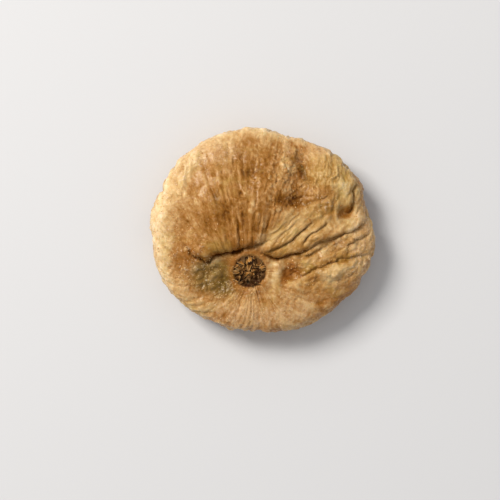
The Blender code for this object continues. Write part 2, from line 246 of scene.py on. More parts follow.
class NodeSheet:
    # a material and the one method that adds nodes to it
    def __init__(self, name):
        self.material = bpy.data.materials.new(name)
        self.material.use_nodes = True
        self.tree = self.material.node_tree
        self.shader = self.tree.nodes["Principled BSDF"]

    def node(self, kind, settings=None, sockets=None, output=0):
        # settings come first; stops are a ramp's places and colours, of which it has two at the start
        made = self.tree.nodes.new(kind)
        for key, value in (settings or {}).items():
            if key == "stops":
                bar = made.color_ramp.elements
                for place, colour in value[1:-1]:
                    bar.new(place)
                for stop, (place, colour) in zip(bar, value):
                    stop.position, stop.color = place, colour
            else:
                setattr(made, key, value)
        for key, value in (sockets or {}).items():
            self.feed(made.inputs[key], value)
        return Wire(self, made.outputs[output])

    def feed(self, socket, value):
        if isinstance(value, Wire):
            self.tree.links.new(value.socket, socket)
        else:
            socket.default_value = value

    def mix(self, factor, first, second):
        return self.node("ShaderNodeMix", {"data_type": "RGBA"}, {0: factor, 6: first, 7: second}, 2)

    def ramp(self, factor, stops):
        return self.node("ShaderNodeValToRGB", {"stops": stops}, {0: factor})

    def value(self, name):
        return self.node("ShaderNodeAttribute", {"attribute_name": name}, output=2)

    def place(self):
        return self.node("ShaderNodeTexCoord", output=3)

    def noise(self, sizeInMm, detail=3.0, rough=0.5, warp=0.0, place=None):
        # clouds of that size at the piece's own places, or at other ones that are given
        sockets = {"Vector": place or self.place(), "Scale": 1000.0 / sizeInMm, "Detail": detail}
        return self.node("ShaderNodeTexNoise", None, {**sockets, "Roughness": rough, "Distortion": warp})

    def bump(self, strength, height):
        return self.node("ShaderNodeBump", None, {"Strength": strength, "Distance": 1.0, "Height": height})

    def finish(self, constants, **varying):
        for key, value in {**constants, **varying}.items():
            self.feed(self.shader.inputs[key.replace("_", " ")], value)
        return self.material


# The fruit's main shape: the solid's forms, and its folds drawn finer, with one more, the lobe's edge

figPlan = dict(
    spokes=540, rings=184,             # grid of the skin: round the fruit, and from eye to stem
    spokesNorth=0.2,                   # how much closer together the spokes are on the far side of the eye
    ringShares=(0, 0.375, 0.538, 0.652, 0.723, 0.842, 0.908, 1),
    ringAngles=(0, 0.5, 0.8, 1.1, 1.4, 2.1, 2.5, math.pi),
    middle=(-0.205, 0.085),            # the middle of the outline, which lies over the origin
    meanRadius=27.8, crownHeight=13.2, rimHeight=6.6,
    edgePower=0.40,                    # how square the rim is
    faceStretch=0.42,                  # how much the middle of the face is spread
    outline=(                          # angle from +x in degrees, share of the mean radius
        (0, 1.018), (12, 0.982), (24, 1.000), (36, 0.966), (48, 0.976), (62, 0.934), (77, 0.914),
        (92, 0.955), (106, 0.976), (120, 0.998), (136, 1.010), (150, 1.030), (170, 1.050),
        (188, 1.050), (204, 1.048), (225, 1.020), (240, 0.980), (255, 0.955), (270, 0.944),
        (285, 0.950), (300, 0.964), (315, 0.986), (330, 1.012), (343, 1.038), (352, 1.042),
    ),
    pleatsAround=32, pleatFace=0.35, pleatRim=0.75, pleatBack=1.2,
    lumpSize=9.0, lumpHeight=0.45,
    pressDepth=0.4, seat=(-1.0, -4.5), seatRadius=5.0, seatEdge=4.0,
    neckHollow=(4.6, 14.2, 4.6, 7.4, 2.7),
)

eyePlan = dict(
    centre=(-3.5, -10.8), radius=4.2, depth=1.0, collarHeight=0.45, collarWidth=1.1,
    # rows of bracts from the outside in: how many, distance of the roots, length, lean in degrees
    rows=(
        (18, 4.6, 1.8, 6), (17, 4.0, 1.9, 12), (15, 3.4, 2.0, 24), (13, 2.8, 2.0, 34),
        (10, 2.1, 2.0, 42), (7, 1.4, 1.9, 52), (4, 0.7, 1.7, 64),
    ),
    width=1.15, thickness=0.20, root=0.3, turns=12, steps=10,
    # chance: place in the row, root, share of the length, lean, share of the width, curl, tone, roll
    chances=((-0.4, 0.4), (-0.3, 0.3), (0.7, 1.2), (-16, 22), (0.6, 1.15), (-0.5, 1.2), (0, 1), (-0.8, 0.8)),
)

# swellings and hollows of the face: x, y, reach along x, reach along y, height
faceForms = (
    (-5, 5.5, 14, 8.5, 3.2), (17.5, 13, 5.5, 7, 2), (10, 14, 2.8, 7.5, -1.7), (8, 7, 4.6, 2.2, -1.4),
    (-4, -12, 15, 6, -1.8), (-14.5, -11.5, 4.5, 3.2, -1.3), (-12, -12.6, 1.6, 2.6, 0.7),
    (3.6, -11.2, 1.2, 3.8, 1), (7.8, -11.2, 1.8, 1.5, -1.5), (21.3, 4.6, 1.7, 1.5, -1.7),
    (14.5, -1.6, 3.2, 1.4, 0.9), (18, -10.5, 7, 3, 0.9), (8.5, -15.5, 3, 1.6, 0.7),
)

# folds: the skin on the left of each path rolls over its groove as a lip. Each has its depth, width, lip,
# reach, overhang and the shares that fade in and out; then its path; then how dark it is at shares of it,
# which sets how deep and wide its groove is and how much painted shade lies in it and beside it
folds = dict(
    brow=(
        (2.4, 0.8, 1.9, 5.5, 1, 0.16, 0.16),
        (
            (-21.5, -3.4), (-19.4, -4.6), (-18.2, -6.5), (-16.2, -7.1), (-14.3, -8.2), (-13.4, -6.8),
            (-10.6, -5.9), (-6.1, -4.9), (-2.2, -3.9), (2.4, -2.6),
        ),
        (
            (0, 0), (0.17, 0.2), (0.22, 0.5), (0.33, 0.5), (0.4, 0.45), (0.5, 0.7), (0.6, 0.95),
            (0.67, 0.9), (0.71, 0.6), (0.85, 0.35), (1, 0.05),
        ),
    ),
    cheek=(
        (2.2, 0.8, 1.3, 3, 0.9, 0.12, 0.14),
        (
            (-2.4, -5.2), (0.4, -6.3), (3.3, -7.2), (6.1, -6.5), (11.3, -5), (13.8, -3.4), (17.3, -2.4),
            (20.7, -1), (24.7, 1.1), (28.5, 3.2),
        ),
        (
            (0, 0), (0.08, 0.2), (0.16, 0.8), (0.2, 0.8), (0.27, 0.6), (0.43, 0.4), (0.5, 0.1),
            (0.63, 0.3), (0.73, 0.2), (0.87, 0.2), (1, 0.1),
        ),
    ),
    upperCheek=(
        (1.2, 0.45, 0.8, 2.2, 0.5, 0.15, 0.22),
        ((-1.4, -5), (1.2, -5.3), (3.5, -4.6), (6.4, -3.1), (9.3, -0.7), (10.9, 0.8), (13.4, 2.2)),
        ((0, 0.1), (0.3, 0.4), (0.5, 0.7), (0.8, 0.6), (1, 0.2)),
    ),
    fork=(
        (1.2, 0.42, 0.7, 1.8, 0.4, 0.2, 0.25),
        ((10, -4.4), (10.6, -2.6), (11.6, -1.3), (13.8, -0.3), (15.6, 1.1), (17.4, 2.6)),
        ((0, 0.4), (0.2, 0.8), (0.5, 0.5), (0.8, 0.3), (1, 0.1)),
    ),
    rightTuck=(
        (1.9, 0.65, 0.9, 2.5, 0.7, 0.15, 0.2),
        ((21.2, 3.5), (22.1, 4.6), (22.8, 6.4), (23, 8.9), (22.8, 10.4), (24.6, 12.8)),
        ((0, 0), (0.15, 0.3), (0.3, 0.45), (0.5, 0.3), (0.75, 0.6), (1, 0.1)),
    ),
    lobeEdge=(
        (0.7, 0.4, 0.45, 1.6, 0.25, 0.2, 0.3),
        ((8.4, 23.6), (9.3, 20.6), (10.7, 18), (11.9, 15.4), (12, 13), (11.3, 11.2)),
        ((0, 0.1), (0.25, 0.35), (0.45, 0.6), (0.65, 0.65), (0.85, 0.35), (1, 0)),
    ),
    creaseUp=(
        (1, 0.45, 0.2, 1.5, 0.15, 0.05, 0.5),
        ((-6.3, -4.6), (-6.3, 0), (-6.8, 4.6)),
        ((0, 0.5), (1, 0.5)),
    ),
    creaseLeft=(
        (0.6, 0.5, 0.15, 1.5, 0.1, 0.1, 0.5),
        ((-11.2, -4.4), (-13.2, -2), (-15.8, 1.4)),
        ((0, 0.5), (1, 0.5)),
    ),
    lowerRight=(
        (0.9, 0.5, 0.5, 1.8, 0.2, 0.2, 0.2),
        (
            (14, -9.5), (15.4, -9.3), (16.6, -8.5), (18.4, -8.3), (20.1, -7.4), (22.2, -7.3),
            (24.5, -6.6), (28.5, -6.6),
        ),
        ((0, 0.2), (0.2, 0.5), (0.4, 0.6), (0.6, 0.25), (0.8, 0), (1, 0)),
    ),
    middleRight=(
        (0.5, 0.4, 0.4, 1.4, 0.2, 0.25, 0.3),
        ((8, -7.6), (11.5, -6.6), (13.8, -5.4), (16.1, -4.3), (18.4, -3)),
        ((0, 0.5), (1, 0.5)),
    ),
    outerRight=(
        (0.8, 0.5, 0.5, 1.4, 0.2, 0.25, 0.2),
        ((20.4, -4.8), (21.9, -4), (23.6, -2.6), (25.3, -2.3), (28, -0.4)),
        ((0, 0.5), (1, 0.5)),
    ),
    pitRight=(
        (0.8, 0.5, 0.5, 1.4, 0.2, 0.25, 0.3),
        ((8.8, -12.6), (12.1, -10.9), (15, -9.7), (17.5, -9.4)),
        ((0, 0.5), (1, 0.5)),
    ),
)

# thin lines in the skin that are finer than the folds: depth, width, and the points of the path
thinLines = (
    (0.4, 0.45, (8.6, 5.6), (11.4, 7), (14.4, 7.6), (18.4, 9)),
    (0.3, 0.4, (4.7, 7.7), (9.4, 8.2), (13.3, 8.6), (15.8, 7.7), (17.6, 8.6)),
    (0.5, 0.35, (-5.6, 21.6), (-5.4, 16.5), (-5.4, 12.4)),
    (0.4, 0.35, (-7.5, 19.6), (-7.7, 16.5), (-7.9, 13.4)),
    (0.34, 0.32, (-12.3, 12.4), (-11.2, 8.2), (-9.9, 4.3), (-9.5, 1)),
    (0.3, 0.3, (-9.5, 10.7), (-8.4, 8), (-7.8, 4)), (0.3, 0.32, (-16.8, 4.3), (-14.6, 0), (-12.9, -2.6)),
    (0.25, 0.4, (-22, 6), (-20.2, 2.1)), (0.3, 0.3, (-3.9, 8.2), (-4.3, 3.2)),
    (0.26, 0.3, (-1.6, 9.4), (-2.4, 4.4), (-2.9, 0.2)),
    (0.75, 0.32, (15.9, 17.2), (15.6, 14.6), (15.8, 12.4)),
    (0.45, 0.35, (14.7, 21.2), (15.1, 19.8), (14.8, 18.4)),
    (0.4, 0.35, (19.6, 17.2), (19.4, 12.6), (18.6, 9.8)),
    (0.45, 0.32, (17.6, 12.6), (17.9, 10.6), (17.2, 8.8)),
    (-0.65, 0.3, (16.6, 13.8), (17.8, 13.6), (18.8, 14.2), (19.3, 15.2)),
    (-0.75, 0.32, (13.4, 13.4), (13.1, 11.9), (13.9, 10.7), (14.4, 9.4)),
    (-0.65, 0.3, (20.6, 18), (21.6, 16.7), (20.9, 15.4)),
    (-0.4, 0.28, (22.4, 16.2), (22.9, 15), (22, 13.8)), (-0.3, 0.34, (7.3, 22), (8.2, 20.2), (7.5, 18.4)),
    (-0.4, 0.28, (17.7, 13.8), (17.1, 12.4), (17.5, 11)),
    (-0.5, 0.35, (4.2, 17.6), (5.2, 16.6), (4.9, 15.2)),
    (-0.35, 0.32, (-0.6, 19), (0.2, 17.6), (-0.4, 16.4)), (0.28, 0.6, (1.2, 3), (5.2, 5), (9.4, 8.2)),
    (0.24, 0.32, (0.8, -3), (4.7, 0), (8.1, 3), (11.1, 5.6)),
    (0.21, 0.3, (1.7, -2.1), (5.5, 1.7), (6.8, 3.9)), (0.19, 0.3, (2.5, -3), (6.8, 0.4), (9, 2.6)),
    (0.22, 0.3, (4.6, -3.4), (8, -0.6), (11, 2.4), (14, 4.4)),
    (0.35, 0.35, (10.3, -7.3), (12.8, -6), (15.8, -4.3)),
    (0.35, 0.35, (19.3, -6.9), (21.9, -6), (24.6, -4.6)), (0.25, 0.3, (11, -3.6), (13.6, -2.2), (17, -1)),
    (0.35, 0.35, (20.6, 0.6), (23, 1.9), (25.8, 3.9)),
)

# small lumps and dips: x, y, reach along and across, height, and turn in degrees where they have one
smallForms = (
    (11.2, -8.4, 3.4, 1, 0.75, 17), (17.4, -11.4, 3, 2, 1.3, 15), (12.4, -12, 2.2, 1.1, 0.7, 22),
    (21.8, -9.2, 2.6, 1.2, 0.9, 10), (16.4, -7.2, 2.4, 0.7, 0.7, 20), (7.6, -14, 1.9, 0.8, 0.7),
    (5.8, -11, 0.8, 3.2, -0.4), (24.8, -9.8, 1.8, 1.6, 0.4), (24.4, -1.6, 2, 0.9, 0.5, 20),
    (23, 1, 2.7, 0.9, 0.65, 52), (21, -4.4, 1.6, 0.8, 0.45, 25), (12.8, 9, 1.8, 0.9, 0.4, 30),
    (-12.6, -12, 1.9, 0.6, 0.8, 42), (-13.2, -8.9, 1.5, 0.7, 0.7, 35), (-17, -10.5, 2.4, 1.2, 0.5, -20),
    (-10.4, -13, 1.4, 1.6, -0.6), (-15.4, -13.6, 2.6, 0.8, 0.5, 12), (-19.4, -4.8, 0.7, 0.5, 0.5, 30),
    (7.7, 20.2, 0.8, 1.8, 0.25, 15), (5.2, 16.6, 0.9, 0.7, 0.5), (6.9, 17, 0.7, 1, 0.5, 20),
    (4.8, 18.6, 0.8, 0.9, 0.4), (10.3, 15.6, 1.2, 3.6, -0.4, 24), (-24, 8, 1, 4, 0.35, -14),
    (-21.4, 11, 0.8, 3.4, 0.35, -22), (-18, 17.5, 0.9, 2.6, 0.3, -30), (-20.4, 14.8, 0.35, 3, 0.4, -4),
    (-18.9, 15.6, 0.3, 2.2, 0.35, -4), (13.4, 6.3, 0.9, 0.6, 0.6, 30), (15.3, 5.1, 1, 0.6, 0.75, -25),
    (17.2, 6.2, 0.7, 1, 0.65), (16.5, 3.5, 1, 0.6, 0.65, 35), (18.7, 3.9, 1, 0.7, 0.6, 55),
    (14.3, 3.5, 0.8, 0.5, 0.5, 25), (18.9, 6.8, 0.7, 0.8, 0.5), (12.2, 4.6, 0.8, 0.5, 0.45, 40),
    (16, 7.4, 0.9, 0.6, 0.55, 15), (19.4, -2.6, 0.9, 0.6, 0.55, 20), (17.7, -3.6, 0.8, 0.6, 0.5, -15),
    (21, -1.9, 0.8, 0.7, 0.5, 30),
)


def outlineRadius(angle):
    # closed cubic curve through the outline's radii
    knots = np.array(figPlan["outline"], float)
    at, radius = np.radians(knots[:, 0]), knots[:, 1] * figPlan["meanRadius"]
    at = np.concatenate([at[-2:] - 2 * math.pi, at, at[:3] + 2 * math.pi])
    radius = np.concatenate([radius[-2:], radius, radius[:3]])
    angle = np.mod(angle, 2 * math.pi)
    i = np.clip(np.searchsorted(at, angle, side="right") - 1, 1, len(at) - 3)
    width = at[i + 1] - at[i]
    t = (angle - at[i]) / width
    rise = (radius[i + 1] - radius[i - 1]) / (at[i + 1] - at[i - 1]) * width
    run = (radius[i + 2] - radius[i]) / (at[i + 2] - at[i]) * width
    start, end = 2 * t**3 - 3 * t**2 + 1, 3 * t**2 - 2 * t**3
    return start * radius[i] + (t**3 - 2 * t**2 + t) * rise + end * radius[i + 1] + (t**3 - t**2) * run


def stretched(share):
    # a parallel circle's place on the face: share + stretch * share * (1 - share^2)
    return share * (1 + figPlan["faceStretch"] * (1 - share**2))


def globe(around, down):
    # unit directions: down is the angle from the eye, around the angle about the line from eye to stem
    x, y = eyePlan["centre"]
    angle = math.atan2(y, x)
    shares = np.linspace(0, 1, 400)
    share = np.interp(math.hypot(x, y) / outlineRadius(np.array(angle)), stretched(shares), shares)
    pole = np.array([share * math.cos(angle), share * math.sin(angle), math.sqrt(1 - share**2)])
    right = np.cross([0, 1, 0], pole)
    right /= np.linalg.norm(right)
    up = np.cross(pole, right)
    around, down = around[..., None], down[..., None]
    return np.cos(down) * pole + np.sin(down) * (np.cos(around) * right + np.sin(around) * up)


def pillow(way):
    # the globe flattened: radius by the outline, height by (1 - share^2) to the edge's power
    x, y, z = np.moveaxis(way, -1, 0)
    share, angle = np.clip(np.hypot(x, y), 0, 1), np.arctan2(y, x)
    radius = stretched(share) * outlineRadius(angle)
    height = np.sign(z) * (1 - share**2) ** figPlan["edgePower"]
    rim, top = figPlan["rimHeight"], figPlan["crownHeight"] - figPlan["rimHeight"]
    level = rim + np.where(height > 0, height * top, height * rim)
    return np.stack([radius * np.cos(angle), radius * np.sin(angle), level], axis=-1)


def faceHeight(x, y, fromEye):
    # the humps added up, a collar round the eye, exp(-(off / width)^2), and the eye's floor sunk by its depth
    radius = eyePlan["radius"]
    height = sum(hump(x, y, *form) for form in faceForms)
    height = height + eyePlan["collarHeight"] * bell(fromEye - radius - 0.7, eyePlan["collarWidth"])
    return height - eyePlan["depth"] * (1 - smoothStep(radius - 1.0, radius + 0.2, fromEye))


def foldMove(x, y, fold, broken):
    # how a fold moves the skin, and the painted shade in its groove and beside it. The groove goes down by
    # exp(-|d / width|^1.4), deeper and wider where it is dark; the lip rises by (1 - exp(-lean^2)) *
    # exp(-(d / reach)^2), with lean = d / width, and hangs over by lean^2 * exp(2 - 2 * lean)
    (depth, width, lip, reach, overhang, start, end), path, shades = fold
    d, share, leftX, leftY = nearPath(x, y, smoothPath(path))
    fade = smoothStep(0, start, share) * smoothStep(0, end, 1 - share)
    dark = np.interp(share, *np.array(shades, float).T) * broken
    groove = np.exp(-(np.abs(d / width / (0.5 + 0.65 * dark)) ** 1.4))
    over = np.maximum(d, 0)
    lean = over / width
    rise = lip * (1 - bell(lean)) * bell(over, reach) - depth * (0.2 + 0.8 * dark) * groove
    sideways = overhang * (0.4 + 0.6 * dark) * lean**2 * np.exp(2 - 2 * lean)
    move = np.stack([-sideways * leftX, -sideways * leftY, rise], axis=-1)
    dark = dark * fade * min(1.0, 0.25 + depth / 3.0)
    return move * fade[..., None], groove * dark, np.exp(-np.abs(d) / 1.2) * dark


def pleats(around, down):
    # ridges between sharp valleys from eye to stem: |noise| round the axis, some deep and some faint
    ringX, ringY = np.cos(around), np.sin(around)
    strength = 0.3 + 0.7 * smoothStep(-0.4, 0.4, SlopeNoise(13)(ringX * 1.8, ringY * 1.8, down * 0.8))
    around = around + 0.12 * SlopeNoise(5)(ringX * 1.5, ringY * 1.5, down * 1.6)
    cells = figPlan["pleatsAround"] / (2 * math.pi)
    ridge = SlopeNoise(11)(cells * np.cos(around), cells * np.sin(around), down * 1.1)
    return strength * (np.minimum(np.abs(ridge) * 2.2, 1.0) - 0.45)


def figShape():
    # the whole skin as a grid from eye to stem, with what the finer work needs to know of it
    turn = np.linspace(0, 2 * math.pi, figPlan["spokes"], endpoint=False)
    turn = turn + figPlan["spokesNorth"] * np.cos(turn)
    steps = np.interp(np.linspace(0, 1, figPlan["rings"]), figPlan["ringShares"], figPlan["ringAngles"])
    around, down = np.meshgrid(turn, steps, indexing="ij")
    way = globe(around, down)
    points = pillow(way)
    onFace, onBack = smoothStep(0.02, 0.5, way[..., 2]), smoothStep(0.05, 0.6, -way[..., 2])
    x, y = points[..., 0].copy(), points[..., 1].copy()
    fromEye = np.hypot(x - eyePlan["centre"][0], y - eyePlan["centre"][1])
    back = hump(x, y, *figPlan["neckHollow"]) - figPlan["pressDepth"]
    points[..., 2] += onFace * faceHeight(x, y, fromEye) + onBack * back
    normal = surfaceNormals(points)
    fromSeat = np.hypot(x - figPlan["seat"][0], y - figPlan["seat"][1])
    seatEnd = figPlan["seatRadius"] + figPlan["seatEdge"]
    offSeat = 1 - onBack * (1 - smoothStep(figPlan["seatRadius"], seatEnd, fromSeat))
    lumps = SlopeNoise(3)(*(np.moveaxis(points, -1, 0) / figPlan["lumpSize"])) * figPlan["lumpHeight"]
    depth = figPlan["pleatRim"] + (figPlan["pleatFace"] - figPlan["pleatRim"]) * onFace
    depth += (figPlan["pleatBack"] - figPlan["pleatRim"]) * onBack
    depth *= smoothStep(0.10, 0.45, down) * smoothStep(0.0, 0.35, math.pi - down)
    folded = pleats(around, down)
    points += normal * (offSeat * (lumps + depth * folded))[..., None]
    # crease and shadeBesideFolds: the painted shade that the folds put in their grooves and next to them
    crease, shadeBesideFolds = np.zeros(x.shape), np.zeros(x.shape)
    shakeX, shakeY = (0.22 * cloudy(seed, 1.9, points, 2) for seed in (25, 26))
    broken = 0.55 + 0.45 * smoothStep(-0.35, 0.25, cloudy(63, 2.6, points, 2))
    for fold in folds.values():
        move, groove, beside = foldMove(x + shakeX, y + shakeY, fold, broken)
        points += onFace[..., None] * move
        crease, shadeBesideFolds = np.maximum(crease, groove * onFace), np.maximum(shadeBesideFolds, beside * onFace)
    return dict(
        points=points, x=x, y=y, around=around, down=down, fromEye=fromEye, onFace=onFace, onBack=onBack,
        offSeat=offSeat, crease=crease, shadeBesideFolds=shadeBesideFolds, pleat=folded * depth, way=way,
    )


# Fine skin: wrinkles that run with the flesh, each zone in its own direction

wrinklePlan = dict(
    sway=1.3,                           # how far soft noise moves the zones' edges, mm
    # zones: x, y, reach along and across, then turn in degrees and edge where they aren't 0 and 0.4
    valley=((5.8, 15.0, 6.2, 8.5, -8), (5.4, 7.6, 6.2, 3.6, 15)), valleyEnd=(13.4, 8.6, 4.8, 2.6, 8),
    veins=(8.6, 0.2, 10.5, 4.4, 33, 0.3), lobe=(17.6, 11.8, 7.4, 9.8), dome=(-7.5, 8.0, 16.0, 15.5, 0, 0.35),
    lower=(17.0, -8.2, 13.0, 6.6, 16, 0.35), olive=(-12.6, -12.5, 6.0, 4.7, -12, 0.45),
    worms=((1.0, 12.0, 10.0, 11.0, 0, 0.5), (17.0, 10.0, 8.0, 9.0)),
    coarse=((-20.5, -7.0, 6.0, 10.0, 0, 0.5), (15.4, 4.8, 4.6, 2.6, 20, 0.5)),
    fanCentre=(-5.0, -20.0), fanRadius=28.0,   # the dome's lines fan out from here
    veinTurn=38.0, lowerTurn=17.0,
    layers=(                            # zone, depth, seed, and the wrinkles' spacing and length
        ("dome", 0.25, 31, 2.1, 11.0), ("dome", 0.11, 32, 1.0, 6.0), ("veins", 0.12, 33, 1.5, 9.0),
        ("veins", 0.07, 34, 0.8, 5.0), ("lobe", 0.32, 35, 1.9, 7.0), ("lobe", 0.192, 36, 0.9, 3.0),
        ("lower", 0.14, 37, 2.0, 6.0), ("lower", 0.08, 38, 1.0, 3.0),
    ),
    belts=(                             # belt, depth, seed, and how many cells of wrinkles go round
        ("rim", 0.64, 41, 56), ("rim", 0.26, 42, 110), ("rest", 0.16, 43, 64),
        ("below", 0.42, 44, 30), ("below", 0.20, 45, 75),
    ),
    pits=((-5.8, 9.4, 0.38), (-3.5, 15.3, 0.3), (-10.6, 14.6, 0.22)), pitDepth=0.45,
    notchAt=158.5, notchWide=1.3, notchDepth=0.7,   # at the outline, in degrees from +x
    # how strong the smaller forms are
    lumps=0.65, crumbs=0.5, wetFolds=0.45, grain=1.6, valleyGrain=0.20, lowerGrain=0.09, coarseGrain=0.14,
    skinGrain=0.07, edgeCrinkle=0.30, curl=0.15, clods=0.40, dents=0.16,
)


def wrinkle(seed, u, v, spacing=1.0, length=1.0):
    # rounded ridges between narrow valleys: |noise(u / spacing, v / length)|; also where the valleys are
    noise = SlopeNoise(seed)
    sway = 0.35 * noise(u / spacing / 3 + 40, v / length / 1.5, 3.1)
    level = np.abs(noise(u / spacing + sway, v / length, 0.37))
    strength = 0.35 + 0.65 * smoothStep(-0.35, 0.35, noise(u / spacing / 2.3 + 9, v / length / 1.4, 7.7))
    return strength * (np.minimum(level * 2.2, 1.0) - 0.5), strength * np.clip(1 - level * 3.0, 0, 1)


def fineSkin(shape):
    # relief in mm along the normal: each zone's mask times its wrinkles, lines and lumps, all added up;
    # and the masks, from 0 to 1, that the colours use
    plan = wrinklePlan
    x, y, down, around = (shape[key] for key in ("x", "y", "down", "around"))
    onFace, offSeat, points, fromEye = (shape[key] for key in ("onFace", "offSeat", "points", "fromEye"))
    level = shape["way"][..., 2]
    soft, softToo = (cloudy(seed, 6.0, points, 2) for seed in (21, 22))
    wx, wy = x + plan["sway"] * soft, y + plan["sway"] * softToo
    relief, lines = np.zeros(x.shape), np.zeros(x.shape)

    def zone(*forms):
        return np.maximum.reduce([patch(wx, wy, *form) for form in forms])

    def knobs(seed, size, layers=2):
        # rounded knobs between sharp valleys: |cloudy noise|, lowered to lie about zero
        return np.abs(cloudy(seed, size, points, layers)) - 0.35

    def lay(weight, height, line):
        nonlocal relief, lines
        relief = relief + weight * height
        lines = np.maximum(lines, weight * line)

    valley = np.maximum(zone(*plan["valley"]), 0.8 * zone(plan["valleyEnd"])) * onFace
    veins, lobe, lower, dome, olive = (
        zone(plan[key]) * onFace for key in ("veins", "lobe", "lower", "dome", "olive")
    )
    lobe = lobe * (1 - valley)
    beside = 0.5 * smoothStep(-5.0, 3.0, x) * smoothStep(2.0, 8.0, y)
    dome = dome * (1 - veins) * (1 - 0.9 * valley) * (1 - beside) * smoothStep(5.2, 6.6, fromEye)
    ragged = fromEye + 0.35 * soft + 0.3 * cloudy(64, 1.4, points, 2)
    eye = onFace * (1 - smoothStep(eyePlan["radius"] - 0.5, eyePlan["radius"] + 0.2, ragged))
    offEye = 1 - eye

    cx, cy = plan["fanCentre"]
    fan, reach = np.arctan2(x - cx, y - cy) * plan["fanRadius"], np.hypot(x - cx, y - cy)
    ways = dict(
        dome=(dome, fan, reach), lobe=(lobe, wx, wy), veins=(veins, *turned(wx, wy, plan["veinTurn"])[::-1]),
        lower=(lower, *turned(wx, wy, plan["lowerTurn"])[::-1]),
    )
    for name, depth, seed, spacing, length in plan["layers"]:
        weight, u, v = ways[name]
        height, line = wrinkle(seed, u, v, spacing, length)
        lay(weight, depth * height, line * min(1.0, depth / 0.24))

    # belts of wrinkles that run out from the eye: how strong, how far they sway on their way, how much
    # painted shade their valleys get
    rim = (1 - onFace * 0.85) * offSeat * smoothStep(0.0, 0.3, math.pi - down)
    rest = onFace * np.clip(1 - dome - veins - lobe - lower - valley, 0, 1) * offEye
    belts = dict(
        rim=(rim, 3 * np.sin(down), 0.7), rest=(rest * smoothStep(0.12, 0.4, down), 0.0, 0.5),
        below=(onFace * smoothStep(-13.5, -17.5, wy), 2.5 * down, 0.8),
    )
    for name, depth, seed, cells in plan["belts"]:
        weight, sway, dark = belts[name]
        k = cells / (2 * math.pi)
        height, line = wrinkle(seed, k * np.cos(around) + sway, k * np.sin(around))
        lay(weight, depth * height, dark * line)

    shakeX, shakeY = (0.35 * cloudy(seed, 1.8, points, 2) for seed in (23, 24))
    broken = 0.35 + 0.65 * smoothStep(-0.3, 0.3, cloudy(65, 2.2, points, 2))
    for depth, width, *path in thinLines:
        path = smoothPath(path, 6)
        low, high = path.min(0) - 2, path.max(0) + 2
        near = (x > low[0]) & (x < high[0]) & (y > low[1]) & (y < high[1]) & (onFace > 0)
        d, share, _, _ = nearPath((x + shakeX)[near], (y + shakeY)[near], path)
        fade = smoothStep(0, 0.25, share) * smoothStep(0, 0.35, 1 - share) * broken[near]
        groove, roll = fade * bell(d, 0.8 * width), fade * bell(np.abs(d) - 2 * width, width)
        relief[near] += depth * (0.3 * roll - 0.7 * groove)
        lines[near] = np.maximum(lines[near], np.minimum(groove * depth / 0.4, 1))

    shaken = x + 0.4 * softToo, y + 0.4 * soft
    relief += plan["lumps"] * onFace * sum(hump(*shaken, *form) for form in smallForms)
    relief += plan["crumbs"] * lower * knobs(54, 3.4) + plan["wetFolds"] * olive * knobs(56, 2.4)
    relief += plan["edgeCrinkle"] * cloudy(55, 2.3, points, 3) * smoothStep(0.55, 0.12, np.abs(level - 0.05))
    notch = bell(np.degrees(np.arctan2(y, x)) - plan["notchAt"], plan["notchWide"])
    relief -= plan["notchDepth"] * notch * smoothStep(0.6, 0.2, np.abs(level))

    # short curled ridges where a noise bends through zero, and clods and grain where the skin is coarse
    drift = np.stack([0.5 * cloudy(seed, 1.6, points, 1) for seed in (57, 58, 59)], axis=-1)
    bent = cloudy(60, 1.7, points + drift, 1)
    curl = bell(bent, 0.17) * smoothStep(-0.25, 0.35, cloudy(62, 3.0, points, 1))
    curl = curl * np.clip(zone(*plan["worms"]) + 0.35, 0, 1) * onFace * offEye * (1 - 0.6 * veins)
    coarse = zone(*plan["coarse"]) * onFace * (1 - olive)
    clods = knobs(61, 2.0) * np.clip(lower + 0.5 * valley + 0.45 * coarse, 0, 1)
    grainy = plan["grain"] * (plan["valleyGrain"] * valley + plan["lowerGrain"] * lower)
    relief += plan["curl"] * curl + plan["clods"] * clods
    relief += (grainy + plan["coarseGrain"] * coarse) * knobs(51, 1.1, 3)
    relief += plan["skinGrain"] * cloudy(52, 0.9, points, 2) * offSeat * offEye
    dents = smoothStep(0.62, 0.85, SlopeNoise(53)(*np.moveaxis(points / 2.1, -1, 0)))
    relief -= plan["dents"] * dents * onFace * offEye * (1 - veins)
    pit = sum(bell(np.hypot(x - px, y - py), wide) for px, py, wide in plan["pits"])
    relief -= plan["pitDepth"] * pit
    relief *= 1 - 0.8 * smoothStep(0.3, 0.8, shape["crease"])
    fans = SlopeNoise(81)(fan / 2.3, reach / 9.0, 0.5) + 0.6 * SlopeNoise(82)(fan / 1.1, reach / 4.5, 0.5)
    return relief, dict(
        valley=valley, veins=veins, lobe=lobe, lower=lower, dome=dome, olive=olive, eye=eye, curl=curl,
        line=np.clip(np.maximum(lines, pit), 0, 1), soft=soft, softToo=softToo, bent=bent, fans=fans,
    )


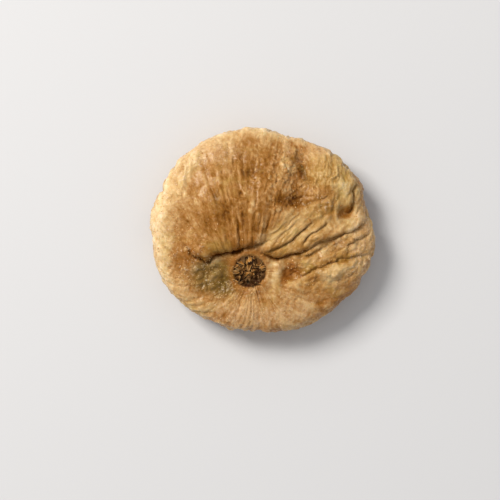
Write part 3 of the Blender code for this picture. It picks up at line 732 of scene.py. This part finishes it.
def tones(shape, masks, relief):
    # how light the skin is, 0 dark brown to 1 cream: the base, and each mask times its amount, added up;
    # and where its other colours lie, each from 0 to 1
    plan = tonePlan
    x, y, onFace, fromEye = (shape[key] for key in ("x", "y", "onFace", "fromEye"))
    soft, bent = masks["soft"], masks["bent"]
    wx, wy = x + plan["sway"] * soft, y + plan["sway"] * masks["softToo"]
    edge = np.hypot(shape["way"][..., 0], shape["way"][..., 1]) + 0.05 * soft
    tone = plan["base"] + spots(wx, wy, plan["patches"], plan["patchEdge"]) * onFace
    # the left edge paler: partly the rim's own cream, partly painted light on the side the light comes from
    tone += plan["leftRim"] * smoothStep(-20.5, -27.0, wx) * smoothStep(-18.0, -8.0, wy)
    # a band along the rim, lighter on the upper left where the light falls: painted rim light
    lit = smoothStep(-0.3, 0.5, (0.6 * y - 0.8 * x) / np.maximum(np.hypot(x, y), 1))
    tone += plan["paintedRimLight"] * smoothStep(0.60, 0.90, edge) * lit
    top = smoothStep(6.0, 16.0, wy) * smoothStep(24.0, 10.0, wx)
    tone += plan["topRim"] * smoothStep(0.66, 0.92, edge) * top
    tone += plan["back"] * shape["onBack"] + plan["side"] * (1 - onFace) * (1 - shape["onBack"])
    tone += plan["fan"] * masks["dome"] * masks["fans"]
    tone += sum(plan[key] * masks[key] for key in ("veins", "lobe", "valley"))
    # the tone is held under a cap that is lower where the skin turns down to the sides: painted shade on the
    # lit sides
    tone = np.minimum(tone, plan["most"] - 0.18 * smoothStep(0.45, 0.0, shape["way"][..., 2]))
    # the pale ridge right of the eye, and the painted shade beside the folds; then the rust that rings the
    # eye below it
    ridge = bell(wx - 3.2 + 1.1 * bent, 1.45) * bell(y + 11.2, 4.2) * onFace
    tone += plan["ridge"] * ridge * (0.7 + 0.5 * smoothStep(-0.3, 0.4, bent)) + plan["shadeBesideFolds"] * shape["shadeBesideFolds"]
    ring = bell(fromEye - 5.0 + 0.8 * soft, 0.9) * smoothStep(1.5, -5.5, x - 0.7 * (y + 10.8))
    rust, sugar, crust = (spots(wx, wy, plan[key], plan["spotEdge"]) for key in ("rust", "sugar", "crust"))
    finishes = dict(rust=rust + plan["ring"] * ring, sugar=sugar, crust=crust)
    return dict(
        # high: how far the fine relief and the pleats stand up, which paints ridges lighter and hollows
        # darker
        tone=tone, crease=shape["crease"], high=np.clip(0.5 + relief * 1.5 + shape["pleat"] * 0.3, 0.1, 1),
        **{key: np.clip(amount, 0, 1) * onFace for key, amount in finishes.items()},
        **{key: masks[key] for key in ("olive", "eye", "line", "dome", "veins", "lobe", "lower", "curl")},
    )


tonePlan = dict(
    base=0.44, most=0.82, leftRim=0.20, topRim=0.05, paintedRimLight=0.22, fan=0.10, back=0.05, side=0.10, veins=0.12,
    lobe=0.11, valley=-0.03, ridge=0.34, shadeBesideFolds=-0.12, ring=0.75, patchEdge=0.7, spotEdge=0.6, sway=1.6,
    # how much lighter, x, y, reach along and across, then turn in degrees and edge where they differ. Most
    # are the skin's own light and dark places; the light ones at (-12.8, -11.6) and (-13.4, -8.9) are painted
    # highlights of wet glints, and the dark ones at (9.9, 15.4), along the lobe's left edge, and at (3.6, -5)
    # and (1.4, -5), below the brow's right end, are painted shade
    patches=(
        (-0.09, -8.5, 5, 8, 8, 20), (-0.06, -3, 0.5, 5, 5), (-0.13, -3, 16, 6, 4.5),
        (-0.25, 6.2, 7.4, 3.4, 2, 20, 0.6), (-0.26, 9.9, 15.4, 1.5, 5, 20), (0.05, -13, 18, 6.5, 4, 40),
        (-0.05, -15, 6, 5, 8, -10), (-0.02, 6, 21, 4.5, 3, -10), (0.06, 24, 8, 2, 5, 0, 0.6),
        (-0.34, 21.3, 4.8, 1.2, 1.9, -22), (0.04, 19.5, -11.5, 4.5, 2.6, 15), (0.05, -20, -12, 4, 4),
        (-0.1, 10, -6.8, 3.4, 1, 20), (0.1, 5.4, 18, 1.8, 3, 0, 0.6), (0.08, 6.8, 14.8, 1.4, 1.8, 0, 0.6),
        (0.12, 10.2, 11.6, 1.3, 0.8, 0, 0.6), (-0.07, -2.5, 14.5, 2.2, 1.6), (-0.06, -1, 8.5, 3, 2, 10),
        (0.22, 27, -4, 4, 8), (0.08, 20, 1, 5, 2.5, 25), (0.08, 23, 5.5, 3, 5), (0.06, 9, -1, 9, 3.5, 33),
        (-0.15, 14.4, 5.6, 3.6, 2.2, 30, 0.8), (0.24, 14.6, -4.6, 4.2, 1.6, 25),
        (-0.26, 7.4, -11.6, 1.7, 1.6, 0, 0.5), (0.02, 7.6, -13.9, 2, 0.9, 0, 0.6),
        (0.02, 23.2, 1.2, 2.8, 1, 52, 0.6), (0.02, 17.4, -11.4, 3.2, 2, 15),
        (0.12, -19.2, 11.5, 0.7, 3.6, -6, 0.6), (0.1, -16.6, 9.5, 0.5, 3.2, -2, 0.6),
        (0.1, -20.8, 13.5, 0.5, 3, -10, 0.6), (-0.06, -22, -9, 4, 6), (-0.15, 20.6, -7.3, 2.4, 0.7, 15),
        (-0.1, 11.9, -9.4, 1.6, 0.8, 20), (-0.1, 15.4, -10.1, 0.6, 0.9),
        (0.08, 19.4, -10.3, 2.6, 1.6, 10), (0.05, 15, -6.6, 2.2, 0.8, 20), (0.08, 7.3, -7.6, 2.2, 0.6),
        (0.03, 9.8, -12.9, 2.6, 0.7, 5), (-0.1, 12.9, -11.8, 2, 0.7, 20),
        (0.03, 7.5, 19.6, 1.2, 2.4, 15, 0.6), (0.05, -17.5, 9, 3, 7, -10, 0.8),
        (0.08, -0.3, -2.4, 2.6, 1.8), (0.06, -14.5, 11.2, 1.6, 2.4), (0.07, 19.8, 10.3, 2.4, 3),
        (0.07, 16.1, -5.6, 2.8, 1.4, 20), (0.2, -20.4, -4.6, 0.8, 0.6, 30, 0.6),
        (-0.13, -11.2, -4.6, 2.4, 1.4), (-0.1, -14.2, -5, 2.4, 1.4, -20), (0.03, -7, 6, 13, 12, 0, 0.5),
        (0.04, 20, -12, 6, 3, 10), (0.04, 5, 12, 5, 6), (0.08, 11.2, -8.4, 3.4, 1, 17),
        (0.2, -12.8, -11.6, 2, 0.8, 42, 0.6), (0.22, -13.4, -8.9, 2.4, 1.4, 35, 0.6),
        (-0.3, -10.2, -13.4, 2.4, 2), (0.1, -17.6, -10.2, 2.2, 1.6), (-0.17, 3.6, -5, 3.2, 1.5, 12),
        (0.08, 15.5, -2.8, 3.4, 1.7, 25), (0.04, -14.5, 20.5, 7, 2.6, 32, 0.6),
        (-0.12, -1.4, 10.4, 1.7, 1.7, 0, 0.6), (-0.14, 11, 7.2, 1.8, 1.5, 0, 0.6),
        (-0.12, 15.6, 4.2, 3.4, 1.6, 20, 0.6), (-0.1, 13.8, -8.4, 1.8, 1.3, 20, 0.6),
        (-0.18, 17.3, 4.2, 1.9, 1.8, 0, 0.6), (-0.14, 1.4, -5, 2.1, 1.4, 0, 0.6),
        (-0.13, 4.7, -2.2, 2.1, 1.5, 30, 0.6), (-0.08, -6.6, 5.6, 3, 2.8, 0, 0.6),
        (-0.12, -16.8, 10.2, 1.4, 2, 0, 0.6), (0.08, -13.7, 10.4, 1.5, 1.7, 0, 0.6),
        (0.08, -1.5, -2, 1.8, 1.3, 0, 0.6), (0.13, 0, -24, 22, 6.5), (0.07, -6, -20, 3, 2.4, 20),
        (0.06, 9, -19.5, 4, 2, -20), (-0.08, 2, -18, 2.4, 1.6),
    ),
    # the same for the other colours, with how strong each is
    crust=(
        (1, 27, -7, 3.6, 7.5), (0.6, 22.6, -13, 3.2, 3), (0.6, 25, 3.5, 2.2, 4),
        (0.7, 18.6, -3.8, 2.8, 1.2), (0.85, -13, 20.5, 7, 2.6), (0.7, 0, -24.5, 20, 4.5),
        (0.6, 12.5, 20, 5.5, 2.6),
    ),
    rust=(
        (0.9, 7.4, -11.5, 2.2, 1.9), (1, 5.8, -11.2, 0.9, 3.6), (0.3, 8.6, -8.6, 2, 1),
        (0.3, 15.5, -6.8, 2.2, 0.8), (0.5, 21.4, 4.9, 1.3, 2.2), (0.4, 13.5, -12.5, 3, 1.2),
        (0.35, -20.5, -6, 2, 3.5), (0.45, 16, 4.6, 4.4, 2.4),
    ),
    sugar=(
        (0.8, -20.4, -4.6, 1, 0.8), (0.7, -20, -9, 5.5, 6), (1, -15.5, 18.6, 4.5, 3.4),
        (0.6, -25.6, 4, 2.6, 8), (0.8, -20.6, 14, 2.6, 4.4), (1, 19, -3.6, 3.2, 1.4),
        (0.8, 25.5, -6, 4, 8), (0.8, 24.8, 7.6, 2.2, 5), (0.6, 14.6, 6.2, 4.6, 2.6), (0.25, 7, 15, 4, 8),
        (0.8, -10.5, 20, 4.5, 2.6), (0.25, -24, 2, 3.5, 12), (0.3, -12, -12, 5, 3), (0.4, 15, -10, 9, 5),
        (0.4, 0, -21, 18, 6),
    ),
)

skinPlan = dict(
    tones=(                             # place on the scale from dark to light, and the colour there
        (0.00, paint(56, 21, 0)), (0.15, paint(101, 54, 4)), (0.30, paint(138, 87, 27)),
        (0.45, paint(164, 114, 60)), (0.60, paint(191, 151, 100)), (0.75, paint(214, 181, 132)),
        (0.88, paint(235, 208, 166)), (1.00, paint(248, 230, 200)),
    ),
    # shade and crease: the painted shade of the fold grooves, brown at their edges and darkest deep in them
    olive=paint(112, 84, 32), rust=paint(150, 92, 34), shade=paint(124, 66, 2), crease=paint(66, 26, 0),
    sugar=paint(246, 220, 192), green=paint(176, 148, 76), eye=paint(74, 42, 24),
    crustDark=paint(166, 116, 74), crustPale=paint(214, 175, 134),
    # how far each moves the tone; height paints raised relief lighter, line paints grooves and pits darker
    # and curl paints
    # the curled ridges lighter: painted light and shade
    streak=0.26, mottle=0.17, fine=0.14, height=0.22, line=0.07, curl=0.11,
)


def fleshLook(weight, scale, **more):
    # how much light goes into the flesh, how deep in metres, and the warm tint of the sheen
    look = {"Subsurface Weight": weight, "Subsurface Scale": scale, "Subsurface Radius": (1.0, 0.62, 0.38)}
    return {**look, "Specular Tint": (1.0, 0.78, 0.36, 1.0), **more}


def drawnOut(sheet, place, across, along):
    # noise at places times 1 / along in x and 1 / across in y and z; its own size of 1000 mm is a scale of 1
    scales = (1000.0 / along, 1000.0 / across, 1000.0 / across)
    drawn = sheet.node("ShaderNodeVectorMath", {"operation": "MULTIPLY"}, {0: place, 1: scales})
    return sheet.noise(1000.0, 4.0, 0.6, 0.3, drawn)


def streaks(sheet, turnDegrees, across, along):
    # noise drawn out along one way across the face
    sockets = {"Vector": sheet.place(), "Rotation": (0.0, 0.0, math.radians(turnDegrees))}
    return drawnOut(sheet, sheet.node("ShaderNodeMapping", None, sockets), across, along)


def fanStreaks(sheet, across, along):
    # the same along lines that fan out from the plan's centre: x is the angle times radius / across,
    # y the distance / along
    cx, cy = np.subtract(wrinklePlan["fanCentre"], figPlan["middle"]) * mm
    sockets = {0: sheet.place(), 1: (cx, cy, 0.0)}
    place = sheet.node("ShaderNodeVectorMath", {"operation": "SUBTRACT"}, sockets)
    x, y, z = (sheet.node("ShaderNodeSeparateXYZ", None, {0: place}, k) for k in range(3))
    angle = x.step("ARCTAN2", x, y) * (wrinklePlan["fanRadius"] / across)
    reach = (x * x + y * y) ** 0.5 * (1000.0 / along)
    drawn = sheet.node("ShaderNodeCombineXYZ", None, {0: angle, 1: reach, 2: z * (1000.0 / across)})
    return sheet.noise(1000.0, 4.0, 0.6, 0.3, drawn)


def skinMaterial():
    sheet = NodeSheet("figSkin")
    plan = skinPlan
    value = {name: sheet.value(name) for name in tonesOfSkin}
    mottle = sheet.noise(2.4, 4.0, 0.6, 0.5)
    fine = sheet.noise(0.8, 4.0, 0.65)
    wide = sheet.noise(6.0, 3.0, 0.55, 0.6)
    zones = (
        (value["dome"], fanStreaks(sheet, 0.9, 5.0)), (value["veins"], streaks(sheet, -38, 0.7, 5.0)),
        (value["lobe"], streaks(sheet, -90, 0.6, 3.6)), (value["lower"], streaks(sheet, -17, 1.3, 3.5)),
    )
    streak = (streaks(sheet, -80, 1.0, 3.0) - 0.5) * 0.9
    for zone, drawn in zones:
        streak = streak + zone * ((drawn - 0.5) - streak)
    level = value["tone"] + streak * plan["streak"] * 2 + (mottle - 0.5) * (plan["mottle"] * 2)
    level = level + (fine - 0.5) * (plan["fine"] * 2 + 0.22 * value["lobe"]) + (wide - 0.5) * 0.2
    # painted light and shade: lighter where the relief stands high and on the curled ridges, darker in the
    # grooves' lines and the pits
    level = level + (value["high"] - 0.5) * plan["height"] + value["curl"] * plan["curl"]
    level = level - value["line"] * plan["line"]
    colour = sheet.ramp(level, plan["tones"])
    colour = sheet.mix(value["olive"] * (0.45 + 0.8 * mottle), colour, plan["olive"])
    colour = sheet.mix(value["rust"] * (0.45 + 0.7 * mottle), colour, plan["rust"])
    tinge = wide.between(0.5, 0.75) * 0.35 + value["lobe"] * 0.30 + (value["lower"] + value["veins"]) * 0.16
    colour = sheet.mix(tinge * (1 - value["rust"]), colour, plan["green"])
    dots = sheet.noise(0.7, 3.0, 0.7)
    crusted = sheet.mix(dots.between(0.42, 0.56), plan["crustDark"], plan["crustPale"])
    colour = sheet.mix(value["crust"] * mottle.between(0.3, 0.6) * 0.6, colour, crusted)
    bloom = sheet.noise(0.75, 3.0, 0.7)
    speck = bloom.between(0.54, 0.70) * mottle.between(0.38, 0.6) * (0.12 + value["sugar"])
    colour = sheet.mix(speck * 0.72, colour, plan["sugar"])
    # painted shade in the fold grooves: brown at their edges, near black deep in them
    colour = sheet.mix(value["crease"].between(0.1, 0.55) * 0.75, colour, plan["shade"])
    colour = sheet.mix(value["crease"].between(0.55, 0.95) * 0.8, colour, plan["crease"])
    colour = sheet.mix(value["eye"], colour, plan["eye"])

    rough = 0.25 + 0.4 * (fine - 0.5) - 0.2 * streak - 0.16 * value["olive"] - 0.14 * speck
    grain = sheet.noise(0.35, 3.0, 0.6)
    bumps = streak * 0.00028 + fine * 0.00022 + grain * 0.00010 + mottle * 0.00025 + speck * 0.00010
    look = {"Specular IOR Level": 0.32, "Coat Tint": (1.0, 0.95, 0.85, 1.0), "Coat Roughness": 0.2}
    coat = value["olive"] * fine.between(0.5, 0.65) * 0.5 + mottle.between(0.4, 0.62) * 0.21
    return sheet.finish(
        fleshLook(0.36, 0.0009, **look), Base_Color=colour, Roughness=rough, Coat_Weight=coat,
        Normal=sheet.bump(0.9, bumps),
    )


shape = figShape()
print("fig: main shape", shape["points"].shape)
relief, masks = fineSkin(shape)
middle = np.array([*figPlan["middle"], 0.0])
skinPoints = shape["points"] + surfaceNormals(shape["points"]) * relief[..., None] - middle
skinPoints[..., 2] = np.maximum(skinPoints[..., 2], 0)
tonesOfSkin = tones(shape, masks, relief)
figSkin = gridPiece("figSkin", skinPoints, skinMaterial(), tonesOfSkin)
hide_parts("dried_fig")
print("fig: skin", len(figSkin.data.polygons), "faces")


# Bracts of the eye: tongues with sunk roots that close over the middle in rows


def eyeFrame():
    # the middle of the eye's floor, and a frame whose z is square to the skin round it: the cross product
    # of two chords of a ring round the eye
    points = shape["points"] - middle
    ring = points[:, np.argmax(shape["down"][0] > 0.09)]
    q = len(ring) // 4
    up = np.cross(ring[0] - ring[2 * q], ring[q] - ring[3 * q])
    up /= np.linalg.norm(up)
    side = np.cross([0.0, 1.0, 0.0], up)
    side /= np.linalg.norm(side)
    return points[:, 0].mean(0), np.stack([side, np.cross(up, side), up])


def makeBracts():
    # tongues on a grid round and along: across = half width * cos(turn), lift = thickness / 2 * sin(turn),
    # carried along a line that leans up out of the skin and in to the eye's middle
    rng = np.random.default_rng(7)
    rows = []
    for count, root, length, lean in eyePlan["rows"]:
        shift, off, longer, tip, wide, *others = (rng.uniform(*ends, count) for ends in eyePlan["chances"])
        rows.append([
            2 * math.pi * (np.arange(count) + shift) / count + 0.9 * root, root + off, length * longer,
            np.radians(lean + tip), eyePlan["width"] * wide, *others,
        ])
    angle, root, length, lean, width, curl, tone, roll = np.concatenate(rows, axis=1)[..., None, None]
    turns, steps = eyePlan["turns"], eyePlan["steps"]
    turn = np.linspace(0, 2 * math.pi, turns, endpoint=False)[None, :, None]
    along = np.linspace(0, 1, steps)[None, None, :]
    # half width: sqrt(v) near the root, falling to a point; the section is a lens, cupped by cos^2
    half = width / 2 * np.minimum(along * 6, 1) ** 0.5 * (1 - along**2.6) ** 0.8
    ragged = 1 + 0.16 * np.sin(9 * along + 20 * tone) * along
    across = half * ragged * np.cos(turn)
    lift = eyePlan["thickness"] / 2 * np.sin(turn) * np.minimum(half * 4, 1) + 0.28 * half * np.cos(turn) ** 2
    across, lift = across * np.cos(roll) - lift * np.sin(roll), across * np.sin(roll) + lift * np.cos(roll)
    # the tongue's line bends: slope = lean + curl * (along - 0.3)
    slope = lean + curl * (along - 0.3)
    forward, rise = length * along * np.cos(slope), length * along * np.sin(slope)
    inward = forward - lift * np.sin(slope) - root
    origin, axes = eyeFrame()
    skinLocal = (skinPoints[:, :60] - origin) @ axes.T
    skinReach = np.hypot(skinLocal[..., 0], skinLocal[..., 1]).mean(0)
    skinLevel = np.interp(root, skinReach, skinLocal[..., 2].mean(0))
    upward = rise + lift * np.cos(slope) - eyePlan["root"] + skinLevel
    swing = angle + (0.9 * np.sin(37 * tone)) * 0.35 * along / (0.35 + root / 4)
    local = np.stack([
        -inward * np.cos(swing) - across * np.sin(swing),
        -inward * np.sin(swing) + across * np.cos(swing),
        np.broadcast_to(upward, across.shape),
    ], axis=-1)
    grids = origin + local @ axes
    # the outer bracts at the right and below are coloured darker, as painted shade; the others are dry and
    # pale
    side = np.cos(angle + 1.05) * smoothStep(0.9, 3.0, root)
    shade = tone * (1 - 0.9 * smoothStep(-0.1, 0.55, side))
    points = np.concatenate([closedColumns(grid) for grid in grids])
    count, size = len(grids), len(points) // len(grids)
    tip, rim = (
        closedColumns(np.broadcast_to(part[0], grids.shape[1:3])) for part in (along, np.abs(np.cos(turn)))
    )
    values = dict(tip=np.tile(tip, count), rim=np.tile(rim, count), shade=np.repeat(shade[:, 0, 0], size))
    faces = copies(closedGrid(turns, steps), count, size)
    return newPiece("eyeBracts", points, faces, bractMaterial(), values)


def bractMaterial():
    sheet = NodeSheet("driedBract")
    tip, rim, shade = sheet.value("tip"), sheet.value("rim"), sheet.value("shade")
    mottle = sheet.noise(0.5, 3.0, 0.6)
    colour = sheet.mix(mottle, paint(54, 30, 16), paint(98, 60, 28))
    # shade: each bract's own tone, darker for the outer ones at the right and below as painted shade
    colour = sheet.mix(tip.between(0.1, 0.6) * shade.between(0.02, 0.45), colour, paint(160, 104, 42))
    pale = sheet.mix(mottle, paint(200, 146, 80), paint(236, 198, 142))
    edge = rim.between(0.45, 0.95) * 0.7 + tip.between(0.75, 1.0) * 0.5
    colour = sheet.mix(edge.between(0.15, 0.8) * shade.between(0.0, 0.5) * 0.8, colour, pale)
    colour = sheet.mix(tip.between(0.8, 1.0) * mottle.between(0.45, 0.6) * 0.5, colour, pale)
    return sheet.finish(
        fleshLook(0.1, 0.0006), Base_Color=colour, Roughness=0.38 + 0.3 * mottle,
        Normal=sheet.bump(0.7, mottle * 0.00012),
    )


# The neck, bent flat into the hollow underneath, with its woody stub

neckPlan = dict(
    path=((3.0, 7.8, 4.4), (3.6, 10.2, 3.3), (4.6, 13.0, 2.7), (5.3, 15.6, 2.5), (5.7, 18.4, 2.7)),
    radii=(4.0, 3.4, 2.5, 1.9, 1.6), flattening=0.78, ribs=7, ribDepth=0.09, turns=96, steps=72,
    woodFrom=0.72,                      # where the wood starts, as a share of the line
)


def makeNeck():
    # rings carried along the line: radius by the radii, ribbed by cos(ribs * angle), closed in at both ends
    plan = neckPlan
    line = smoothPath(np.array(plan["path"]) - middle, 12)
    share = np.linspace(0, 1, plan["steps"])
    at = np.linspace(0, 1, len(line))
    line = np.stack([np.interp(share, at, column) for column in line.T], axis=-1)
    radii = np.interp(share, np.linspace(0, 1, len(plan["radii"])), plan["radii"])
    radii = radii * np.minimum((1 - share) * 40, 1) ** 0.35 * np.minimum(share * 12, 1) ** 0.5
    turn = np.linspace(0, 2 * math.pi, plan["turns"], endpoint=False)
    ways = np.gradient(line, axis=0)
    ways /= np.linalg.norm(ways, axis=1, keepdims=True)
    side = np.cross(ways, [0, 0, 1])
    side /= np.linalg.norm(side, axis=1, keepdims=True)
    rise = np.cross(side, ways) * plan["flattening"]
    ring = np.cos(turn)[:, None, None] * side + np.sin(turn)[:, None, None] * rise
    ribs = 1 + plan["ribDepth"] * np.cos(plan["ribs"] * turn + 0.6 * np.sin(3 * turn))[:, None]
    # the skin ends on the wood in a ragged line: share moved by sines of the angle
    ragged = share + (0.045 * np.sin(3 * turn + 1) + 0.03 * np.sin(8 * turn))[:, None]
    wood = smoothStep(plan["woodFrom"] - 0.03, plan["woodFrom"] + 0.02, ragged)
    creases, lines = wrinkle(61, 7 * np.cos(turn)[:, None], 7 * np.sin(turn)[:, None] + 1.5 * share)
    fibres = np.cos(26 * turn + 1.3 * np.sin(5 * turn))[:, None] * 0.05
    rolled = 0.10 * bell(ragged - plan["woodFrom"] + 0.05, 0.035)
    swell = 1 + (0.16 * creases + rolled) * (1 - wood) + (fibres - 0.12) * wood
    grid = line + (radii * ribs * swell)[..., None] * ring
    grid[..., 2] = np.maximum(grid[..., 2], 0.02)
    values = dict(wood=wood, line=lines, end=smoothStep(0.93, 1.0, share))
    return gridPiece("neck", grid, neckMaterial(), values)


def neckMaterial():
    sheet = NodeSheet("neckAndStub")
    wood, line, end = (sheet.value(name) for name in ("wood", "line", "end"))
    mottle, fine = sheet.noise(1.6, 4.0, 0.6), sheet.noise(0.4, 3.0, 0.6)
    # darker in the wrinkles' valleys: painted shade
    colour = sheet.ramp(0.16 + 0.55 * mottle + 0.15 * fine - 0.3 * line, skinPlan["tones"])
    bark = sheet.mix(fine, paint(66, 46, 30), paint(134, 102, 70))
    colour = sheet.mix(wood, colour, sheet.mix(end * 0.7, bark, paint(48, 33, 22)))
    return sheet.finish(
        fleshLook(0.2, 0.0009), Base_Color=colour, Roughness=0.5 + 0.3 * wood,
        Normal=sheet.bump(0.8, fine * 0.0002),
    )


# Crumbs of dried flesh, and grains of sugar that have dried out of it

sugarPlan = dict(count=1800, sizes=(0.05, 0.19), stretch=(0.6, 1.25), sunk=0.35)
crumbPlan = dict(
    count=150, sizes=(0.3, 0.85), stretch=(0.7, 1.3), sunk=1.28, turns=7, steps=5, placeEdge=0.7,
    # how many there, x, y, reach along and across, and turn in degrees where it isn't 0
    places=(
        (1, 5.4, 17.6, 2.6, 4), (1, 6.8, 13.6, 2.6, 3), (1.2, 10.4, 11.4, 1.8, 1.2),
        (1.3, 13.7, 8.5, 4, 1.6, 8), (0.5, 3, 8, 4, 2.4), (0.35, 0, 14, 4, 5),
        (1.7, 20, -3.6, 2.4, 0.9, 22), (0.4, 16, -6, 4, 1.2, 18), (0.3, -10, 20.6, 4.5, 2, 20),
        (0.5, 12, 3.4, 3, 1.4, 35), (0.12, 16, 10, 4, 7),
    ),
)


def scattered(rng, plan, weight, corners):
    # a stone's corners, stretched and turned anew at each picked place of the skin and sunk in it:
    # place + normal * radius * (0.5 - sunk) + corner * stretch * radius
    area = np.cross(np.roll(skinPoints, -1, 0) - skinPoints, np.gradient(skinPoints, axis=1))
    weight = weight * np.linalg.norm(area, axis=-1) * (1 - masks["eye"])
    weight[:, :3] = 0
    picked = rng.choice(weight.size, plan["count"], replace=False, p=weight.ravel() / weight.sum())
    place = skinPoints.reshape(-1, 3)[picked]
    normal = surfaceNormals(skinPoints).reshape(-1, 3)[picked]
    small, large = plan["sizes"]
    radius = small + (large - small) * rng.uniform(0, 1, len(picked)) ** 2.2
    stretch = rng.uniform(*plan["stretch"], (len(picked), 1, 3))
    turn = np.linalg.qr(rng.normal(size=(len(picked), 3, 3)))[0]
    turn *= np.sign(np.linalg.det(turn))[:, None, None]
    stones = (corners * stretch * radius[:, None, None]) @ turn
    return stones + (place + normal * (radius * (0.5 - plan["sunk"]))[:, None])[:, None]


def makeSugar():
    # twenty-sided stones: corners at (+-1, +-t, 0) and the same with the places changed round, to length 1
    rng = np.random.default_rng(17)
    t = (1 + math.sqrt(5)) / 2
    corners = np.array([
        (-1, t, 0), (1, t, 0), (-1, -t, 0), (1, -t, 0), (0, -1, t), (0, 1, t), (0, -1, -t), (0, 1, -t),
        (t, 0, -1), (t, 0, 1), (-t, 0, -1), (-t, 0, 1),
    ]) / math.hypot(1, t)
    sides = np.array([
        (0, 11, 5), (0, 5, 1), (0, 1, 7), (0, 7, 10), (0, 10, 11), (1, 5, 9), (5, 11, 4), (11, 10, 2),
        (10, 7, 6), (7, 1, 8), (3, 9, 4), (3, 4, 2), (3, 2, 6), (3, 6, 8), (3, 8, 9), (4, 9, 5), (2, 4, 11),
        (6, 2, 10), (8, 6, 7), (9, 8, 1),
    ])
    clump = smoothStep(0.0, 0.6, cloudy(71, 2.6, shape["points"], 2))
    weight = tonesOfSkin["sugar"] * (0.15 + clump) + 0.008 * shape["onFace"] * (1 - 0.8 * masks["olive"])
    stones = scattered(rng, sugarPlan, weight, corners)
    faces = copies((sides,), len(stones), len(corners))
    tone = np.repeat(rng.uniform(0, 1, len(stones)), len(corners))
    grains = newPiece("sugarGrains", stones.reshape(-1, 3), faces, sugarMaterial(), dict(tone=tone))
    grains.data.shade_flat()
    return grains


def makeCrumbs():
    # small globes with dents, each with its own ones: the radius times 1 + 0.3 * noise
    rng = np.random.default_rng(19)
    turns, steps = crumbPlan["turns"], crumbPlan["steps"]
    turn = np.linspace(0, 2 * math.pi, turns, endpoint=False)[:, None]
    down = np.linspace(0, math.pi, steps)[None]
    ball = np.sin(down) * np.cos(turn), np.sin(down) * np.sin(turn), np.cos(down) + 0 * turn
    corners = closedColumns(np.stack(ball, axis=-1))
    dented = corners * (1 + 0.3 * rng.uniform(-1, 1, (crumbPlan["count"], len(corners), 1)))
    clump = smoothStep(-0.1, 0.5, cloudy(72, 2.4, shape["points"], 2))
    weight = spots(shape["x"], shape["y"], crumbPlan["places"], crumbPlan["placeEdge"])
    stones = scattered(rng, crumbPlan, weight * (0.08 + clump) * shape["onFace"], dented)
    faces = copies(closedGrid(turns, steps), len(stones), len(corners))
    tone = np.repeat(rng.uniform(0, 1, len(stones)), len(corners))
    return newPiece("fleshCrumbs", stones.reshape(-1, 3), faces, crumbMaterial(), dict(tone=tone))


def crumbMaterial():
    sheet = NodeSheet("fleshCrumb")
    mottle = sheet.noise(0.7, 3.0, 0.6)
    colour = sheet.ramp(0.42 + 0.12 * sheet.value("tone") + 0.4 * (mottle - 0.5), skinPlan["tones"])
    return sheet.finish(
        fleshLook(0.15, 0.0002, **{"Specular IOR Level": 0.32}), Base_Color=colour,
        Roughness=0.36 + 0.3 * (mottle - 0.5), Normal=sheet.bump(0.6, mottle * 0.0001),
    )


def sugarMaterial():
    sheet = NodeSheet("driedSugar")
    tone = sheet.value("tone")
    colour = sheet.mix(tone.between(0.1, 0.9), paint(184, 134, 76), paint(226, 190, 136))
    frost = sheet.noise(0.2, 2.0, 0.5)
    return sheet.finish(
        fleshLook(0.15, 0.0001), Base_Color=colour, Roughness=0.3 + 0.25 * frost,
        Normal=sheet.bump(0.5, frost * 0.00005),
    )


eyeBracts = makeBracts()
print("fig: bracts", len(eyeBracts.data.polygons), "faces")
neck = makeNeck()
print("fig: neck and stub", len(neck.data.polygons), "faces")
sugarGrains = makeSugar()
print("fig: sugar", len(sugarGrains.data.polygons), "faces")
fleshCrumbs = makeCrumbs()
print("fig: crumbs", len(fleshCrumbs.data.polygons), "faces")


# Floor, light and camera

stagePlan = dict(
    floorSize=1.6, floor=paint(210, 210, 212), world=(1.0, 1.0, 1.0, 1.0), worldStrength=0.48,
    keyPlace=(-0.56, 0.48, 0.76), keyAim=(0, 0, 0.008), keySize=0.42, keyPower=12.0,
    keyColour=(1.0, 0.965, 0.91),
    photoScale=500 / 3.88,             # width of the picture at the face, mm
    aim=(-3.275, -5.24), faceLevel=11.0, lens=100.0,
)


def makeStage():
    half = stagePlan["floorSize"] / 2
    mesh = bpy.data.meshes.new("floor")
    corners = [(x * half, y * half, 0) for x, y in ((-1, -1), (1, -1), (1, 1), (-1, 1))]
    mesh.from_pydata(corners, [], [(0, 1, 2, 3)])
    sheet = NodeSheet("paperFloor")
    mesh.materials.append(sheet.finish({"Base Color": stagePlan["floor"], "Roughness": 0.85}))
    floor = bpy.data.objects.new("floor", mesh)
    bpy.context.scene.collection.objects.link(floor)

    world = bpy.data.worlds.new("softSky")
    world.use_nodes = True
    back = world.node_tree.nodes["Background"]
    back.inputs[0].default_value = stagePlan["world"]
    back.inputs[1].default_value = stagePlan["worldStrength"]
    bpy.context.scene.world = world

    data = bpy.data.lights.new("window", "AREA")
    data.size, data.energy, data.color = stagePlan["keySize"], stagePlan["keyPower"], stagePlan["keyColour"]
    light = bpy.data.objects.new("window", data)
    place = Vector(stagePlan["keyPlace"])
    light.location = place
    light.rotation_euler = (Vector(stagePlan["keyAim"]) - place).to_track_quat("-Z", "Y").to_euler()
    bpy.context.scene.collection.objects.link(light)

    data = bpy.data.cameras.new("camera")
    data.lens, data.sensor_width = stagePlan["lens"], 36.0
    data.clip_start, data.clip_end = 0.01, 10.0
    camera = bpy.data.objects.new("camera", data)
    distance = stagePlan["photoScale"] / data.sensor_width * data.lens
    aimX, aimY = stagePlan["aim"]
    camera.location = (aimX * mm, aimY * mm, (stagePlan["faceLevel"] + distance) * mm)
    bpy.context.scene.collection.objects.link(camera)
    bpy.context.scene.camera = camera
    bpy.context.scene.view_settings.view_transform = "Standard"


makeStage()
print("stage: floor, light and camera")
